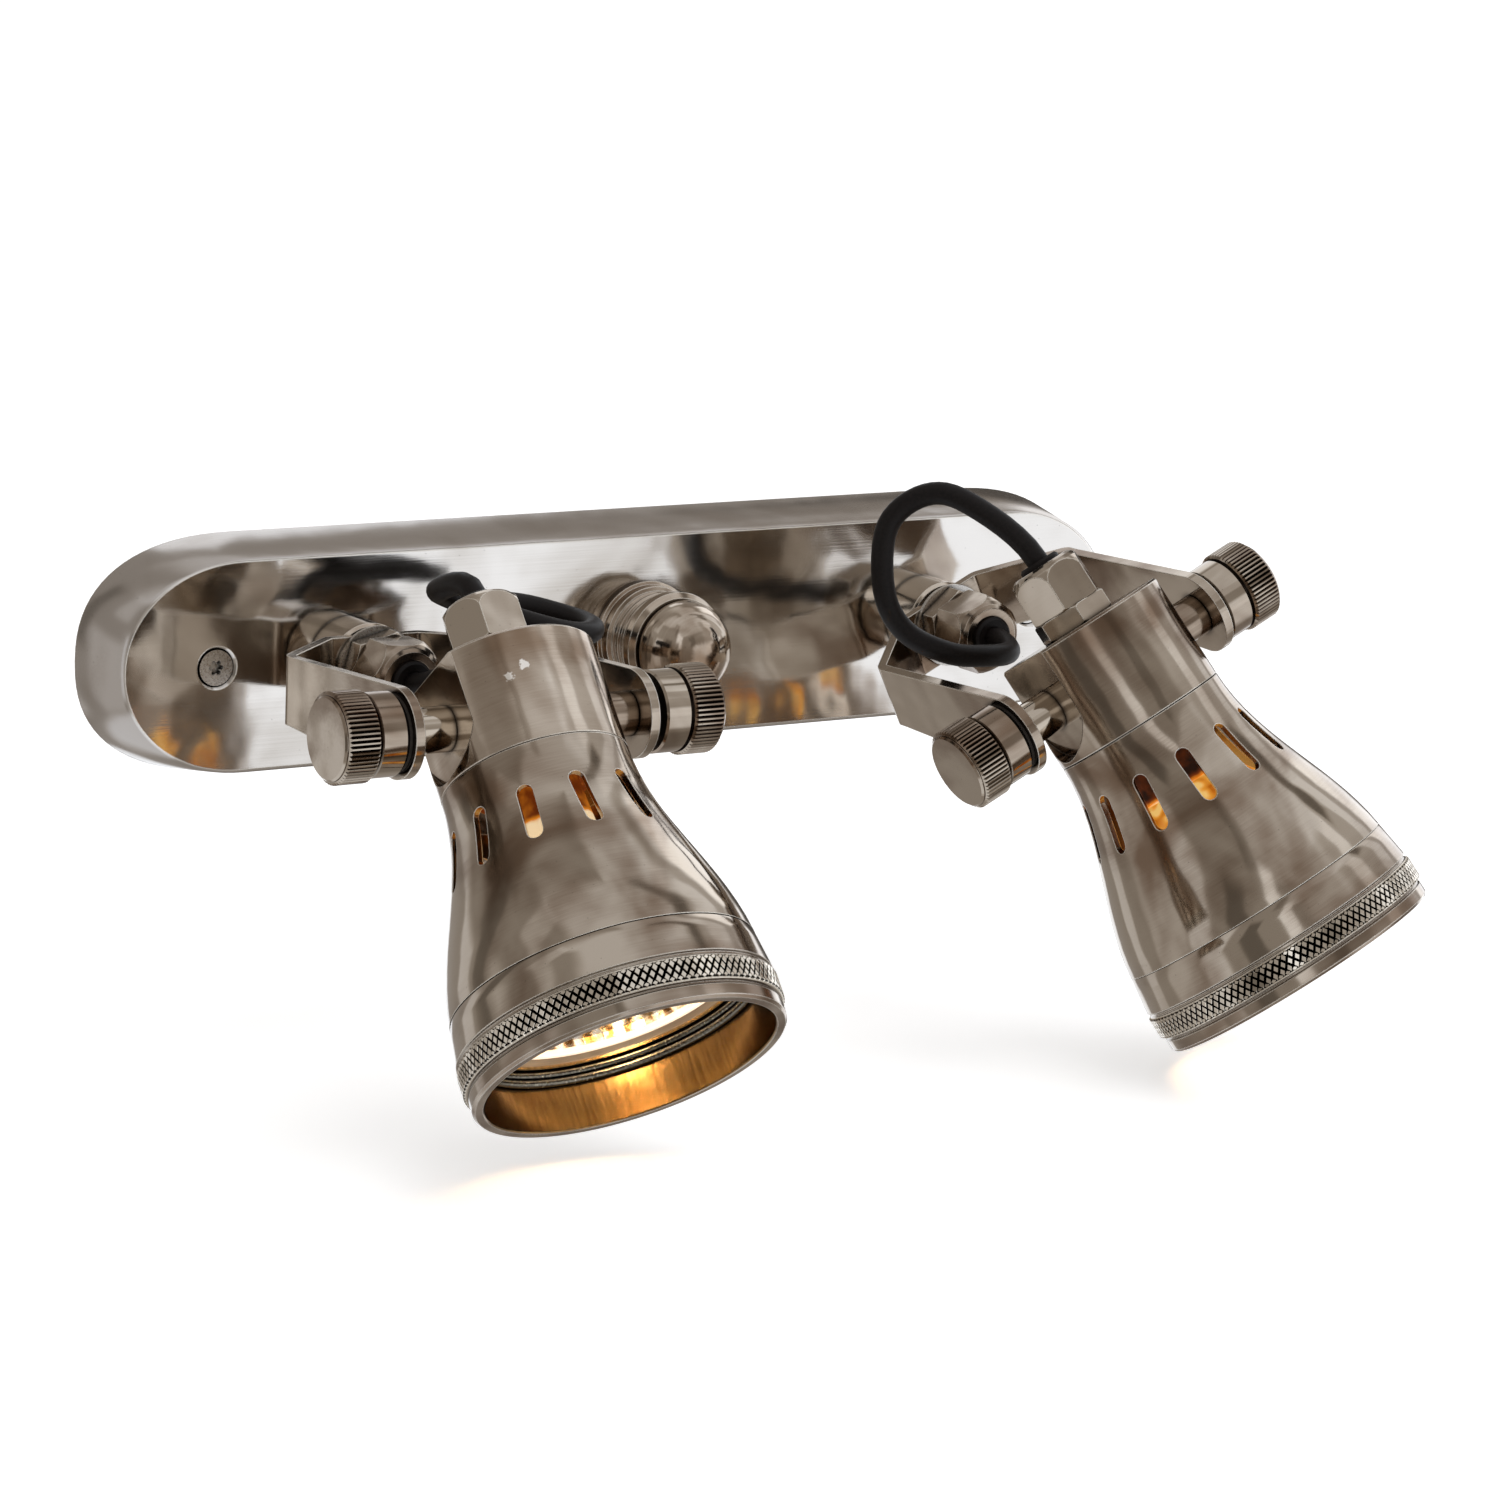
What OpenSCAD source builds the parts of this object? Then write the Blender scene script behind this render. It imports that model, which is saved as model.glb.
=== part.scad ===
// Two-head wall spot light: a long back plate, two swivelling yokes and two tilting spot heads.
// Millimetres. Origin: centre of the back, on the wall. +X right, +Z up, the room is on -Y.

/* [Back plate] */
// Length of the back plate
plate_l = 248; // [236:1:280]
// Height of the back plate
plate_h = 49.5; // [46:0.5:60]
// Depth of the back plate, from the wall to its polished face
plate_d = 16.5; // [15.5:0.5:22]
// How far the sloping rim draws the face in
rim_in = 3.4; // [2:0.1:5]
// Width of the softened edge between rim and face
edge_in = 0.8; // [0.3:0.1:1.2]
// Thickness of the pressed sheet
sheet_t = 1.5; // [1:0.1:2]
// Length of each round end at the wall
end_l = 35; // [28:1:40]
// How much shorter the round end is on the face
end_draw = 9; // [4:1:12]
// Distance between the two swivel axes
swivel_pitch = 141.5; // [136:0.5:150]
// Distance between the two screws in the face
screw_pitch = 200.6; // [190:0.2:206]
// Gap between pieces that slide on each other
slip = 0.1; // [0.05:0.05:0.3]
// Radial clearance of a pin or thread in its hole
run = 0.05; // [0.02:0.01:0.1]

/* [Wall bracket] */
// Length of the strap behind the plate
bracket_l = 222; // [215:1:226]
// Height of the strap
bracket_h = 24; // [20:1:28]
// Thickness of the strap
bracket_t = 2; // [1.5:0.5:3]
// Distance between the two slots for the wall screws
wall_slot_pitch = 120; // [110:1:124]
// Length of each wall slot
wall_slot_l = 12; // [8:1:14]
// Width of each wall slot
wall_slot_w = 4.6; // [4:0.2:5.5]
// Radius of the hole for the supply cable
cable_hole_r = 8; // [6:0.5:9]
// Place of the cable hole left of the middle
cable_hole_x = 34; // [30:1:38]
// Radius of the threaded posts that take the face screws
post_r = 4; // [3.5:0.5:5]
// Radius of the face screws
screw_r = 2; // [1.5:0.5:2.5]
// Radius of the face screws' heads
screw_head_r = 3.7; // [3.5:0.1:4.5]
// Radius of the dimple that the head sits in
dimple_r = 4.5; // [4.4:0.1:5.5]
// Length of the terminal block
terminal_l = 30; // [24:1:34]
// Height of the terminal block
terminal_h = 17; // [14:1:20]
// Depth of the terminal block
terminal_d = 9; // [8:0.5:9.5]
// Radius of the wires inside the plate
lead_r = 1.2; // [0.8:0.1:1.5]

/* [Finial] */
// Radius of the finial's foot
finial_foot_r = 12; // [10:0.5:14]
// Length of the turned finial base
finial_base_l = 14.1; // [12:0.1:18]
// Radius of the collar at its front
finial_collar_r = 11.6; // [10:0.1:13]
// Length of that collar
finial_collar_l = 3.6; // [3:0.1:5]
// Radius of the polished dome
dome_r = 10.4; // [9:0.1:11]
// Radius of the stud that holds the dome
stud_r = 3; // [2:0.5:4]
// How far the stud reaches into the dome
stud_reach = 7; // [5:0.5:7.5]
// Height of the nut that holds the stud
stud_nut_h = 2.4; // [2:0.1:3]

/* [Yoke] */
// Radius of the spacer between plate and yoke
spacer_r = 9; // [7.5:0.5:10]
// Length of that spacer
spacer_l = 9.9; // [6:0.1:14]
// Outer radius of the hollow threaded nipple
nipple_r = 5; // [4.5:0.5:5.5]
// Bore radius of the nipple
nipple_bore = 3.4; // [3.2:0.1:3.8]
// Thickness of the yoke strip
strip_t = 2; // [1.5:0.1:2.5]
// Width of the yoke strip
strip_w = 13.9; // [13:0.1:15]
// Half length of the yoke's middle flat
flat_half = 10.3; // [9.8:0.1:11]
// How far the corners stand in front of the middle flat
corner_rise = 13.9; // [10:0.1:16]
// Inside bend radius of the strip
bend_r = 1.2; // [0.8:0.1:2]
// Distance between the insides of the two ears
ear_gap = 49.9; // [47:0.1:54]
// Radius of the round ear ends
ear_r = 9; // [8:0.1:10]
// Distance of the tilt axis from the wall
tilt_z = 86.5; // [84:0.5:96]
// Thickness of the washer under the cable gland
gland_washer_t = 0.9; // [0.5:0.1:1.5]

/* [Cable glands] */
// Width across flats
gland_af = 15; // [14:0.1:16]
// Height of the hexagonal base
gland_base_h = 4.2; // [3:0.1:5]
// Height of the domed nut
gland_nut_h = 10.4; // [9:0.1:12]
// Radius of the nut's round mouth rim
gland_tip_r = 6.2; // [5.6:0.1:6.6]
// Radius of the mouth opening
gland_mouth_r = 4.5; // [4.2:0.1:4.8]
// How far the rubber seal stands out
seal_out = 1.2; // [0.6:0.1:2]
// Turn of the nut against its base
gland_turn = 14; // [0:1:30]
// Radius of the black flex
flex_r = 2.4; // [2:0.1:2.6]

/* [Spot head] */
// Distance from the tilt axis to the back of the housing
head_back = 11.6; // [11:0.1:14]
// Length of the cylindrical housing
housing_l = 23.7; // [22:0.1:28]
// Radius of the housing
housing_r = 18.8; // [18:0.1:20]
// Bore radius of the housing
housing_bore = 14.2; // [13.8:0.1:14.6]
// Thickness of the housing's back wall
back_wall = 3; // [2:0.1:4]
// Distance from the head's axis to the milled side flats
side_flat = 15.7; // [15.3:0.1:17]
// Radius of the cutter that milled the flats
cutter_r = 11; // [9:0.1:11.5]
// Radius of the pivot posts
pivot_r = 4.5; // [4:0.1:5.5]
// Length of the bell from housing to front ring
bell_l = 44.2; // [42:0.1:50]
// Radius of the bell at the front ring
bell_r = 30.3; // [30:0.1:32]
// Wall of the bell
bell_wall = 1.5; // [1.2:0.1:2]
// Length of the joints that plug one shell into the next
spigot_l = 4.6; // [3:0.1:6]
// Number of cooling slots
slot_n = 12; // [8:1:14]
// Length of a cooling slot
slot_l = 12.2; // [8:0.1:14]
// Width of a cooling slot
slot_w = 3.2; // [2:0.1:4]
// Distance from the housing to the slots
slot_from = 8.2; // [7:0.1:12]
// Turn of the slots on the left head
left_slot_turn = 10; // [0:1:29]
// Turn of the slots on the right head
right_slot_turn = 16; // [0:1:29]

/* [Front ring] */
// Length of the plain tapering band
band_l = 8.9; // [6:0.1:10]
// Width of the knurled band
knurl_w = 5.1; // [4:0.1:7]
// Width of the plain lip
lip_w = 3.6; // [2.5:0.1:5]
// Radius over the knurl
knurl_r = 31.7; // [31.4:0.1:34]
// Depth of the diamond knurl, whose pyramids are left to the render
knurl_d = 0.4; // [0.2:0.05:0.6]
// Radius of the lip
lip_r = 31; // [30.4:0.1:33]
// Inside radius of the mouth
mouth_r = 28.7; // [28.4:0.1:29.4]
// Radius of the wire of the two snap rings
snap_wire_r = 0.8; // [0.5:0.1:1]

/* [Lamp and holder] */
// Radius of the reflector lamp
lamp_r = 25; // [24.5:0.1:25.4]
// Distance from the lip back to the lamp's front
lamp_recess = 13.9; // [13.5:0.1:17]
// Length of the reflector
reflector_l = 32; // [30:0.5:34]
// Length of the lamp's ceramic foot
lamp_foot_l = 13.5; // [12:0.5:15]
// Radius of the lamp's ceramic foot
lamp_foot_r = 8.7; // [8:0.1:9.5]
// Distance between the lamp's two pins
pin_pitch = 10; // [9:0.5:11]
// Length of the pins
pin_l = 7; // [6:0.5:8]
// Radius of the round lamp holder
holder_r = 12.2; // [11.5:0.1:12.4]
// Length of the lamp holder
holder_l = 15.5; // [14:0.1:16]
// Thickness of the plate behind the lamp holder
holder_plate_t = 1; // [0.8:0.1:1.5]

/* [Thumb screws] */
// Radius of the knurled knob
knob_r = 9; // [8:0.1:10]
// Width of the knurled part
knob_w = 7.7; // [6:0.1:9]
// Number of ridges on the knob
knob_ridges = 60; // [40:1:72]
// Depth of the ridges
ridge_d = 0.5; // [0.3:0.05:0.7]
// Radius of the plain collar
collar_r = 8.3; // [7.5:0.1:8.5]
// Length of the plain collar
collar_l = 5.8; // [3:0.1:7]
// Radius of the threaded shank
shank_r = 2.5; // [2:0.1:3]
// Length of the shank behind the collar
shank_l = 10.8; // [10:0.1:11.2]
// Radius of the fibre washer
washer_r = 7.6; // [6.5:0.1:8.4]
// Thickness of the fibre washer
washer_t = 0.6; // [0.5:0.1:1.5]
// How far the left head's outer thumb screw is backed off
left_outer_gap = 0.5; // [0.1:0.1:2]
// How far the left head's inner thumb screw is backed off
left_inner_gap = 1.6; // [0.1:0.1:2]
// How far the right head's inner thumb screw is backed off
right_inner_gap = 0.5; // [0.1:0.1:2]
// How far the right head's outer thumb screw is backed off
right_outer_gap = 0.1; // [0.1:0.1:2]

/* [Pose of the heads] */
// Turn of the left yoke about its swivel
left_swing = 0; // [-10:1:10]
// Downward tilt of the left head
left_tilt = 51; // [45:1:60]
// Turn of the right yoke about its swivel
right_swing = 26; // [16:1:30]
// Downward tilt of the right head
right_tilt = 63.5; // [58:0.5:70]

/* [Hidden] */
$fn = 64;
LEFT = 0;
RIGHT = 1;
swing = [left_swing, right_swing];
tilt = [left_tilt, right_tilt];
slot_turn = [left_slot_turn, right_slot_turn];
swivel_x = [-swivel_pitch / 2, swivel_pitch / 2];
// Backing off of the thumb screws: each head's left one, then its right one
knob_gap = [[left_outer_gap, left_inner_gap], [right_inner_gap, right_outer_gap]];

// Places along the swivel axis, as distances from the wall
plate_in_z = plate_d - sheet_t;
spacer_z = plate_d + spacer_l;
yoke_z = spacer_z + slip;
yoke_face_z = yoke_z + strip_t;
corner_z = yoke_face_z + corner_rise;
yoke_gland_z = yoke_face_z + gland_washer_t;
nipple_back_z = plate_in_z - 5.5;
spring_washer_t = 1;
nipple_nut_h = 3;
ear_out = ear_gap / 2 + strip_t;

// Places along the head's axis, measured from the tilt axis towards the mouth
seam1 = housing_l - head_back;
seam2 = seam1 + bell_l;
knurl_s = seam2 + band_l;
lip_s = knurl_s + knurl_w;
mouth_s = lip_s + lip_w;
lamp_s = mouth_s - lamp_recess;
foot_s = lamp_s - reflector_l;
holder_s = foot_s - lamp_foot_l - 0.2;
holder_back_s = holder_s - holder_l;
spigot_r = bell_r - bell_wall - 0.9;
spigot_wall = 1.2;

// Gland: sizes shared by its base, nut and seal
gland_corner_r = gland_af / 2 / cos(30);
gland_thread_r = 5.9;
gland_thread_l = 4.5;
gland_pocket_h = gland_nut_h - 3;
flex_hole_r = flex_r + 0.5;
seal_hole_r = flex_r + run;

// Flex centre lines between the two glands, each in its own yoke's frame: across, up, out from the wall
left_loop = [
    [4.5, 4, 54], [12, 9.5, 53], [19, 13.5, 40], [28, 13, 37.5], [36, 11, 44.5],
    [36, 10.5, 53.5], [30.5, 10.5, 58.5], [23, 12, 57.5], [10.5, 16, 48], [1, 20, 52]
];
right_loop = [
    [-2.5, 0, 54], [-9.5, 4, 59.5], [-19, 10, 59.5], [-25, 18, 55.5], [-25.5, 28, 54],
    [-18.5, 39.5, 52.5], [-10, 43, 57], [-4.5, 39, 63.5]
];
loop = [left_loop, right_loop];
// Wires inside the plate, right-hand half, from the nipple to the terminal block
flex_in_z = nipple_back_z + 0.5;
lead_end_x = terminal_l / 2 + 0.4;
lead_run = swivel_pitch / 2 - lead_end_x;
lead_path = [
    [swivel_pitch / 2, 0, flex_in_z - 0.15], [swivel_pitch / 2 - 0.3, 0, flex_in_z - 2.4],
    [swivel_pitch / 2 - 3.6, 0, flex_in_z - 4.6], [lead_end_x + lead_run * 0.77, 2, flex_in_z - 5.2],
    [lead_end_x + lead_run * 0.52, 5, flex_in_z - 5], [lead_end_x + lead_run * 0.27, 3, flex_in_z - 4],
    [lead_end_x, 0, flex_in_z - 3.5]
];
tube_sides = 10;
lead_sides = 8;
rings_per_span = 3;
// The flex starts to bend this far outside each seal
straight = 0.5;

// Finishes
NICKEL = [0.55, 0.52, 0.47];
POLISHED = [0.66, 0.65, 0.63];
BRASS = [0.72, 0.55, 0.3];
STEEL = [0.6, 0.62, 0.64];
BLACK = [0.07, 0.06, 0.07];
CERAMIC = [0.9, 0.89, 0.85];
GLASS = [0.95, 0.9, 0.75];

// Frames
// Turns a shape drawn with X across, Y up and Z out from the wall into the model's frame
module from_wall() {
    rotate([90, 0, 0]) children();
}

// Frame of one yoke: Z is its swivel axis, X its tilt direction
module on_yoke(side) {
    from_wall() translate([swivel_x[side], 0, 0]) rotate([0, 0, swing[side]]) children();
}

// Frame of one head: X is the tilt axis, Z points from that axis to the mouth
module on_head(side) {
    on_yoke(side) translate([0, 0, tilt_z]) rotate([tilt[side], 0, 0]) children();
}

// Turns a shape drawn up Z so that it points along X, away from the head; dir is -1 or 1
module along_tilt(dir) {
    rotate([0, 90 * dir, 0]) children();
}

// Helper geometry
function unit2(v) = v / norm(v);

// Points on an arc about c from angle a to angle b
function arc(c, r, a, b, n) = [for (i = [0:n]) let (t = a + (b - a) * i / n) c + r * [cos(t), sin(t)]];

// Arc that rounds the corner q of the path p, q, s
function corner_arc(p, q, s, r, n) =
    let (u = unit2(p - q), v = unit2(s - q), half = acos(u * v) / 2, run_in = r / tan(half))
    let (c = q + unit2(u + v) * r / sin(half), d0 = q + u * run_in - c, d1 = q + v * run_in - c)
    let (a = atan2(d0[1], d0[0]), b = atan2(d1[1], d1[0]))
    let (turn = b - a > 180 ? b - a - 360 : (b - a < -180 ? b - a + 360 : b - a))
    arc(c, r, a, a + turn, n);

// Path with its inner corners rounded
function rounded_path(p, r, n) = concat(
    [p[0]],
    [for (i = [1:len(p) - 2]) each corner_arc(p[i - 1], p[i], p[i + 1], r, n)],
    [p[len(p) - 1]]
);

// Left normal of a path at point i, stretched so that a strip keeps its thickness round a bend
function path_normal(p, i) =
    let (last = len(p) - 1)
    let (a = unit2(p[min(i + 1, last)] - p[min(i, last - 1)]))
    let (b = unit2(p[max(i, 1)] - p[max(i - 1, 0)]))
    let (m = unit2(a + b))
    [-m[1], m[0]] / (m * a);

// Outline of a strip of thickness t about a path
function strip_outline(p, t) = concat(
    [for (i = [0:len(p) - 1]) p[i] + path_normal(p, i) * t / 2],
    [for (i = [len(p) - 1:-1:0]) p[i] - path_normal(p, i) * t / 2]
);

// Outline with straight sides and full, almost round ends, drawn in by d
function plate_outline(d) =
    let (share = d / rim_in, ex = end_l - end_draw * share, power = 0.84 + 0.14 * share)
    let (hx = plate_l / 2 - d - ex, hy = plate_h / 2 - d, n = 20)
    [for (s = [0, 1]) for (i = [-n:n]) let (t = 90 * i / n, side = 1 - 2 * s)
        [side * (hx + ex * pow(cos(t), power)), side * hy * sign(t) * pow(abs(sin(t)), power)]];

// Stadium outline along X, of a length and width
function slot_outline(l, w) = concat(
    arc([l / 2 - w / 2, 0], w / 2, -90, 90, 8),
    arc([w / 2 - l / 2, 0], w / 2, 90, 270, 8)
);

module ring(outer, inner, h) {
    difference() {
        cylinder(r = outer, h = h);
        translate([0, 0, -1]) cylinder(r = inner, h = h + 2);
    }
}

module torus(big, small) {
    rotate_extrude() translate([big, 0]) circle(r = small, $fn = 16);
}

// Smooth curve through points, n steps to a span
function curve_point(a, b, c, d, t) =
    0.5 * (2 * b + (c - a) * t + (2 * a - 5 * b + 4 * c - d) * t * t + (3 * b - a - 3 * c + d) * t * t * t);
function smooth(p, n) = smooth_between(2 * p[0] - p[1], p, 2 * p[len(p) - 1] - p[len(p) - 2], n);
// The same, with a point before and a point after that set the direction of its ends
function smooth_between(before, p, after, n) = concat(
    [for (i = [0:len(p) - 2]) for (j = [0:n - 1])
        curve_point(i == 0 ? before : p[i - 1], p[i], p[i + 1], i + 2 > len(p) - 1 ? after : p[i + 2], j / n)],
    [p[len(p) - 1]]
);
function tangents(p) = [for (i = [0:len(p) - 1])
    unit2(p[min(i + 1, len(p) - 1)] - p[max(i - 1, 0)])];
// Side directions carried along the curve without twist
function carried(t, first, i = 0, done = []) =
    i == len(t) ? done :
    let (last = i == 0 ? first : done[i - 1], side = unit2(last - (last * t[i]) * t[i]))
    carried(t, first, i + 1, concat(done, [side]));

// One closed tube of radius r swept along a curve
module tube(curve, r, sides, first) {
    t = tangents(curve);
    u = carried(t, first);
    n = len(curve);
    points = [for (i = [0:n - 1]) let (v = cross(t[i], u[i])) for (k = [0:sides - 1])
        let (a = 360 * k / sides) curve[i] + r * (u[i] * cos(a) + v * sin(a))];
    walls = [for (i = [0:n - 2]) for (k = [0:sides - 1])
        let (a = i * sides + k, b = i * sides + (k + 1) % sides)
        each [[a, a + sides, b + sides], [a, b + sides, b]]];
    caps = [for (k = [1:sides - 2]) each [[0, k, k + 1],
        [(n - 1) * sides, (n - 1) * sides + k + 1, (n - 1) * sides + k]]];
    polyhedron(points = points, faces = concat(walls, caps), convexity = 6);
}

// Back plate and what it holds
module backplate() {
    inside = sheet_t;
    color(POLISHED) from_wall() difference() {
        hull() {
            linear_extrude(0.01) polygon(plate_outline(0));
            translate([0, 0, plate_d - edge_in]) linear_extrude(0.01)
                polygon(plate_outline(rim_in - edge_in));
            translate([0, 0, plate_d - 0.01]) linear_extrude(0.01) polygon(plate_outline(rim_in));
        }
        hull() {
            translate([0, 0, -1]) linear_extrude(1.01) offset(delta = -inside) polygon(plate_outline(0));
            translate([0, 0, plate_in_z - 0.01]) linear_extrude(0.01)
                offset(delta = -inside) polygon(plate_outline(rim_in));
        }
        for (x = swivel_x) translate([x, 0, plate_in_z - 1]) cylinder(r = nipple_r + run, h = sheet_t + 2);
        translate([0, 0, plate_in_z - 1]) cylinder(r = stud_r + run, h = sheet_t + 2);
        for (x = [-1, 1]) translate([x * screw_pitch / 2, 0, plate_in_z - 1]) {
            cylinder(r = screw_head_r - sheet_t + 0.9, h = sheet_t + 2);
            translate([0, 0, 1]) cylinder(r1 = dimple_r - sheet_t, r2 = dimple_r, h = sheet_t);
        }
    }
}

module wall_bracket() {
    color(STEEL) from_wall() difference() {
        translate([-bracket_l / 2, -bracket_h / 2, 0]) cube([bracket_l, bracket_h, bracket_t]);
        for (x = [-1, 1]) translate([x * wall_slot_pitch / 2, 0, -1])
            wall_slot(bracket_t + 2);
        translate([-cable_hole_x, 0, -1]) cylinder(r = cable_hole_r, h = bracket_t + 2);
        for (x = [-1, 1]) translate([x * screw_pitch / 2, 0, -1])
            cylinder(r = post_r - 1 + run, h = bracket_t + 2);
    }
}

module wall_slot(h) {
    straight_l = wall_slot_l - wall_slot_w;
    for (x = [-1, 1]) translate([x * straight_l / 2, 0, 0]) cylinder(r = wall_slot_w / 2, h = h);
    translate([-straight_l / 2, -wall_slot_w / 2, 0]) cube([straight_l, wall_slot_w, h]);
}

// Threaded posts riveted into the strap; the plate rests on them
module bracket_posts() {
    color(BRASS) from_wall() for (x = [-1, 1]) translate([x * screw_pitch / 2, 0, 0]) difference() {
        union() {
            cylinder(r = post_r - 1, h = bracket_t + 1);
            translate([0, 0, bracket_t]) cylinder(r = post_r, h = plate_in_z - bracket_t);
        }
        translate([0, 0, -1]) cylinder(r = screw_r + run, h = plate_in_z + 2);
        translate([0, 0, plate_in_z - 1.2])
            cylinder(r1 = screw_r + run, r2 = screw_r + run + 1.3, h = 1.3);
    }
}

// Countersunk face screws with a six-lobed socket
module plate_screws() {
    head_z = plate_d - 0.4;
    head_h = screw_head_r - screw_r;
    color(STEEL) from_wall() for (x = [-1, 1]) translate([x * screw_pitch / 2, 0, 0]) difference() {
        union() {
            translate([0, 0, bracket_t + 1]) cylinder(r = screw_r, h = head_z - head_h - bracket_t - 1);
            translate([0, 0, head_z - head_h]) cylinder(r1 = screw_r, r2 = screw_head_r, h = head_h);
        }
        translate([0, 0, head_z - 1.3]) {
            cylinder(r = 1.15, h = 2);
            for (a = [0:60:300]) rotate(a) translate([1.15, 0, 0]) cylinder(r = 0.45, h = 2);
        }
    }
}

// Three-way block on the strap, with a row of clamp screws along each long side
module terminal_block() {
    color(CERAMIC) from_wall() translate([0, 0, bracket_t]) difference() {
        translate([-terminal_l / 2, -terminal_h / 2, 0]) cube([terminal_l, terminal_h, terminal_d]);
        at_terminals() cylinder(r = 2.1, h = 6);
        for (x = [-0.5, 0.5], y = [-1, 1])
            translate([x * terminal_l / 1.65 - 0.6, y * terminal_h / 2 - 2, 2]) cube([1.2, 4, terminal_d]);
    }
}

// Repeats a shape in each of the block's six wells
module at_terminals() {
    for (x = [-1:1], y = [-1, 1])
        translate([x * terminal_l / 3.3, y * terminal_h / 4, terminal_d - 5]) children();
}

module terminal_screws() {
    color(BRASS) from_wall() translate([0, 0, bracket_t]) at_terminals() difference() {
        cylinder(r = 1.9, h = 3.4);
        translate([-0.4, -3, 2.6]) cube([0.8, 6, 2]);
    }
}

module inner_leads() {
    curve = smooth(lead_path, rings_per_span);
    color(BLACK) from_wall() {
        tube(curve, lead_r, lead_sides, [1, 0, 0]);
        mirror([1, 0, 0]) tube(curve, lead_r, lead_sides, [1, 0, 0]);
    }
}

module swivel_spacers() {
    color(NICKEL) from_wall() for (x = swivel_x) translate([x, 0, plate_d]) rotate_extrude() polygon([
        [nipple_r + run, 0], [spacer_r, 0], [spacer_r, spacer_l - 0.6], [spacer_r - 0.6, spacer_l],
        [nipple_r + run, spacer_l]
    ]);
}

// Finial
module finial_base() {
    f = finial_foot_r;
    c = finial_collar_r;
    l = finial_base_l;
    collar_z = l - finial_collar_l;
    waist_r = c - 1.2;
    groove = 0.45;
    pitch = (collar_z - 4.6) / 3;
    grooves = [for (i = [0:2]) let (z = 4.6 + pitch * i) each [
        [waist_r, z], [waist_r - groove, z + pitch * 0.25],
        [waist_r - groove, z + pitch * 0.5], [waist_r, z + pitch * 0.75]
    ]];
    color(NICKEL) from_wall() translate([0, 0, plate_d]) rotate_extrude() polygon(concat(
        [[stud_r + run, 0], [f, 0], [f, 1.2], [f - 0.7, 1.6], [f - 0.7, 3.8], [waist_r, 4.2]],
        grooves,
        [[waist_r, collar_z], [c, collar_z + 0.5], [c, l - 1.1], [c - 1.1, l], [stud_r + run, l]]
    ));
}

module finial_stud() {
    color(STEEL) from_wall() {
        translate([0, 0, plate_in_z - stud_nut_h - 0.2])
            cylinder(r = stud_r, h = stud_nut_h + 0.2 + sheet_t + finial_base_l + stud_reach);
        translate([0, 0, plate_in_z - stud_nut_h]) cylinder(r = stud_r * 1.9, h = stud_nut_h, $fn = 6);
    }
}

// Domed cap that screws on to the stud
module finial() {
    dome = [for (i = [0:8]) let (a = 90 * i / 8) [dome_r * cos(a), 1.6 + (dome_r - 0.8) * sin(a)]];
    color(POLISHED) from_wall() translate([0, 0, plate_d + finial_base_l + slip]) rotate_extrude()
        polygon(concat(
            [[stud_r + run, 0], [dome_r - 0.5, 0]], dome,
            [[0, stud_reach + 1], [stud_r + run, stud_reach + 1]]
        ));
}

// Yoke and swivel
function yoke_half() =
    let (m = yoke_z + strip_t / 2, ear = ear_gap / 2 + strip_t / 2)
    [[0, m], [flat_half, m], [ear, corner_z - strip_t / 2], [ear, corner_z + 6]];

module yoke(side) {
    half = rounded_path(yoke_half(), bend_r + strip_t / 2, 5);
    whole = concat([for (i = [len(half) - 1:-1:1]) [-half[i][0], half[i][1]]], half);
    color(NICKEL) on_yoke(side) difference() {
        union() {
            rotate([90, 0, 0]) translate([0, 0, -strip_w / 2]) linear_extrude(strip_w)
                polygon(strip_outline(whole, strip_t));
            for (s = [0, 1]) mirror([s, 0, 0]) translate([ear_gap / 2, 0, 0]) rotate([90, 0, 90])
                linear_extrude(strip_t) hull() {
                    translate([-strip_w / 2, corner_z + 1.5]) square([strip_w, 1]);
                    translate([0, tilt_z]) circle(r = ear_r);
                }
        }
        translate([0, 0, yoke_z - 1]) cylinder(r = nipple_r + run, h = strip_t + 2);
        translate([-ear_out - 1, 0, tilt_z]) rotate([0, 90, 0])
            cylinder(r = shank_r + run, h = 2 * ear_out + 2);
    }
}

module gland_washer(side) {
    color(STEEL) on_yoke(side) translate([0, 0, yoke_face_z])
        ring(gland_corner_r + 0.3, nipple_r + run, gland_washer_t);
}

// Hollow threaded tube that carries the yoke and lets the flex through
module swivel_nipple(side) {
    color(BRASS) on_yoke(side) translate([0, 0, nipple_back_z])
        ring(nipple_r, nipple_bore, yoke_gland_z + gland_base_h - 0.5 - nipple_back_z);
}

// Spring washer and hexagon nut that hold the nipple inside the plate
module nipple_nut(side) {
    back_z = plate_in_z - slip - spring_washer_t - nipple_nut_h;
    color(STEEL) on_yoke(side) translate([0, 0, back_z]) difference() {
        union() {
            cylinder(r = gland_af / 2 / cos(30) - 0.6, h = nipple_nut_h, $fn = 6);
            translate([0, 0, nipple_nut_h]) cylinder(r = nipple_r + 2.4, h = spring_washer_t);
        }
        translate([0, 0, -1]) cylinder(r = nipple_r, h = nipple_nut_h + spring_washer_t + 2);
    }
}

// Cable glands, drawn standing on z = 0
module hex_bar(h, chamfer) {
    intersection() {
        cylinder(r = gland_corner_r, h = h, $fn = 6);
        rotate_extrude() polygon([
            [0, 0], [gland_corner_r - chamfer, 0], [gland_corner_r + 0.02, chamfer * 0.6],
            [gland_corner_r + 0.02, h - chamfer * 0.6], [gland_corner_r - chamfer, h], [0, h]
        ]);
    }
}

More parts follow.
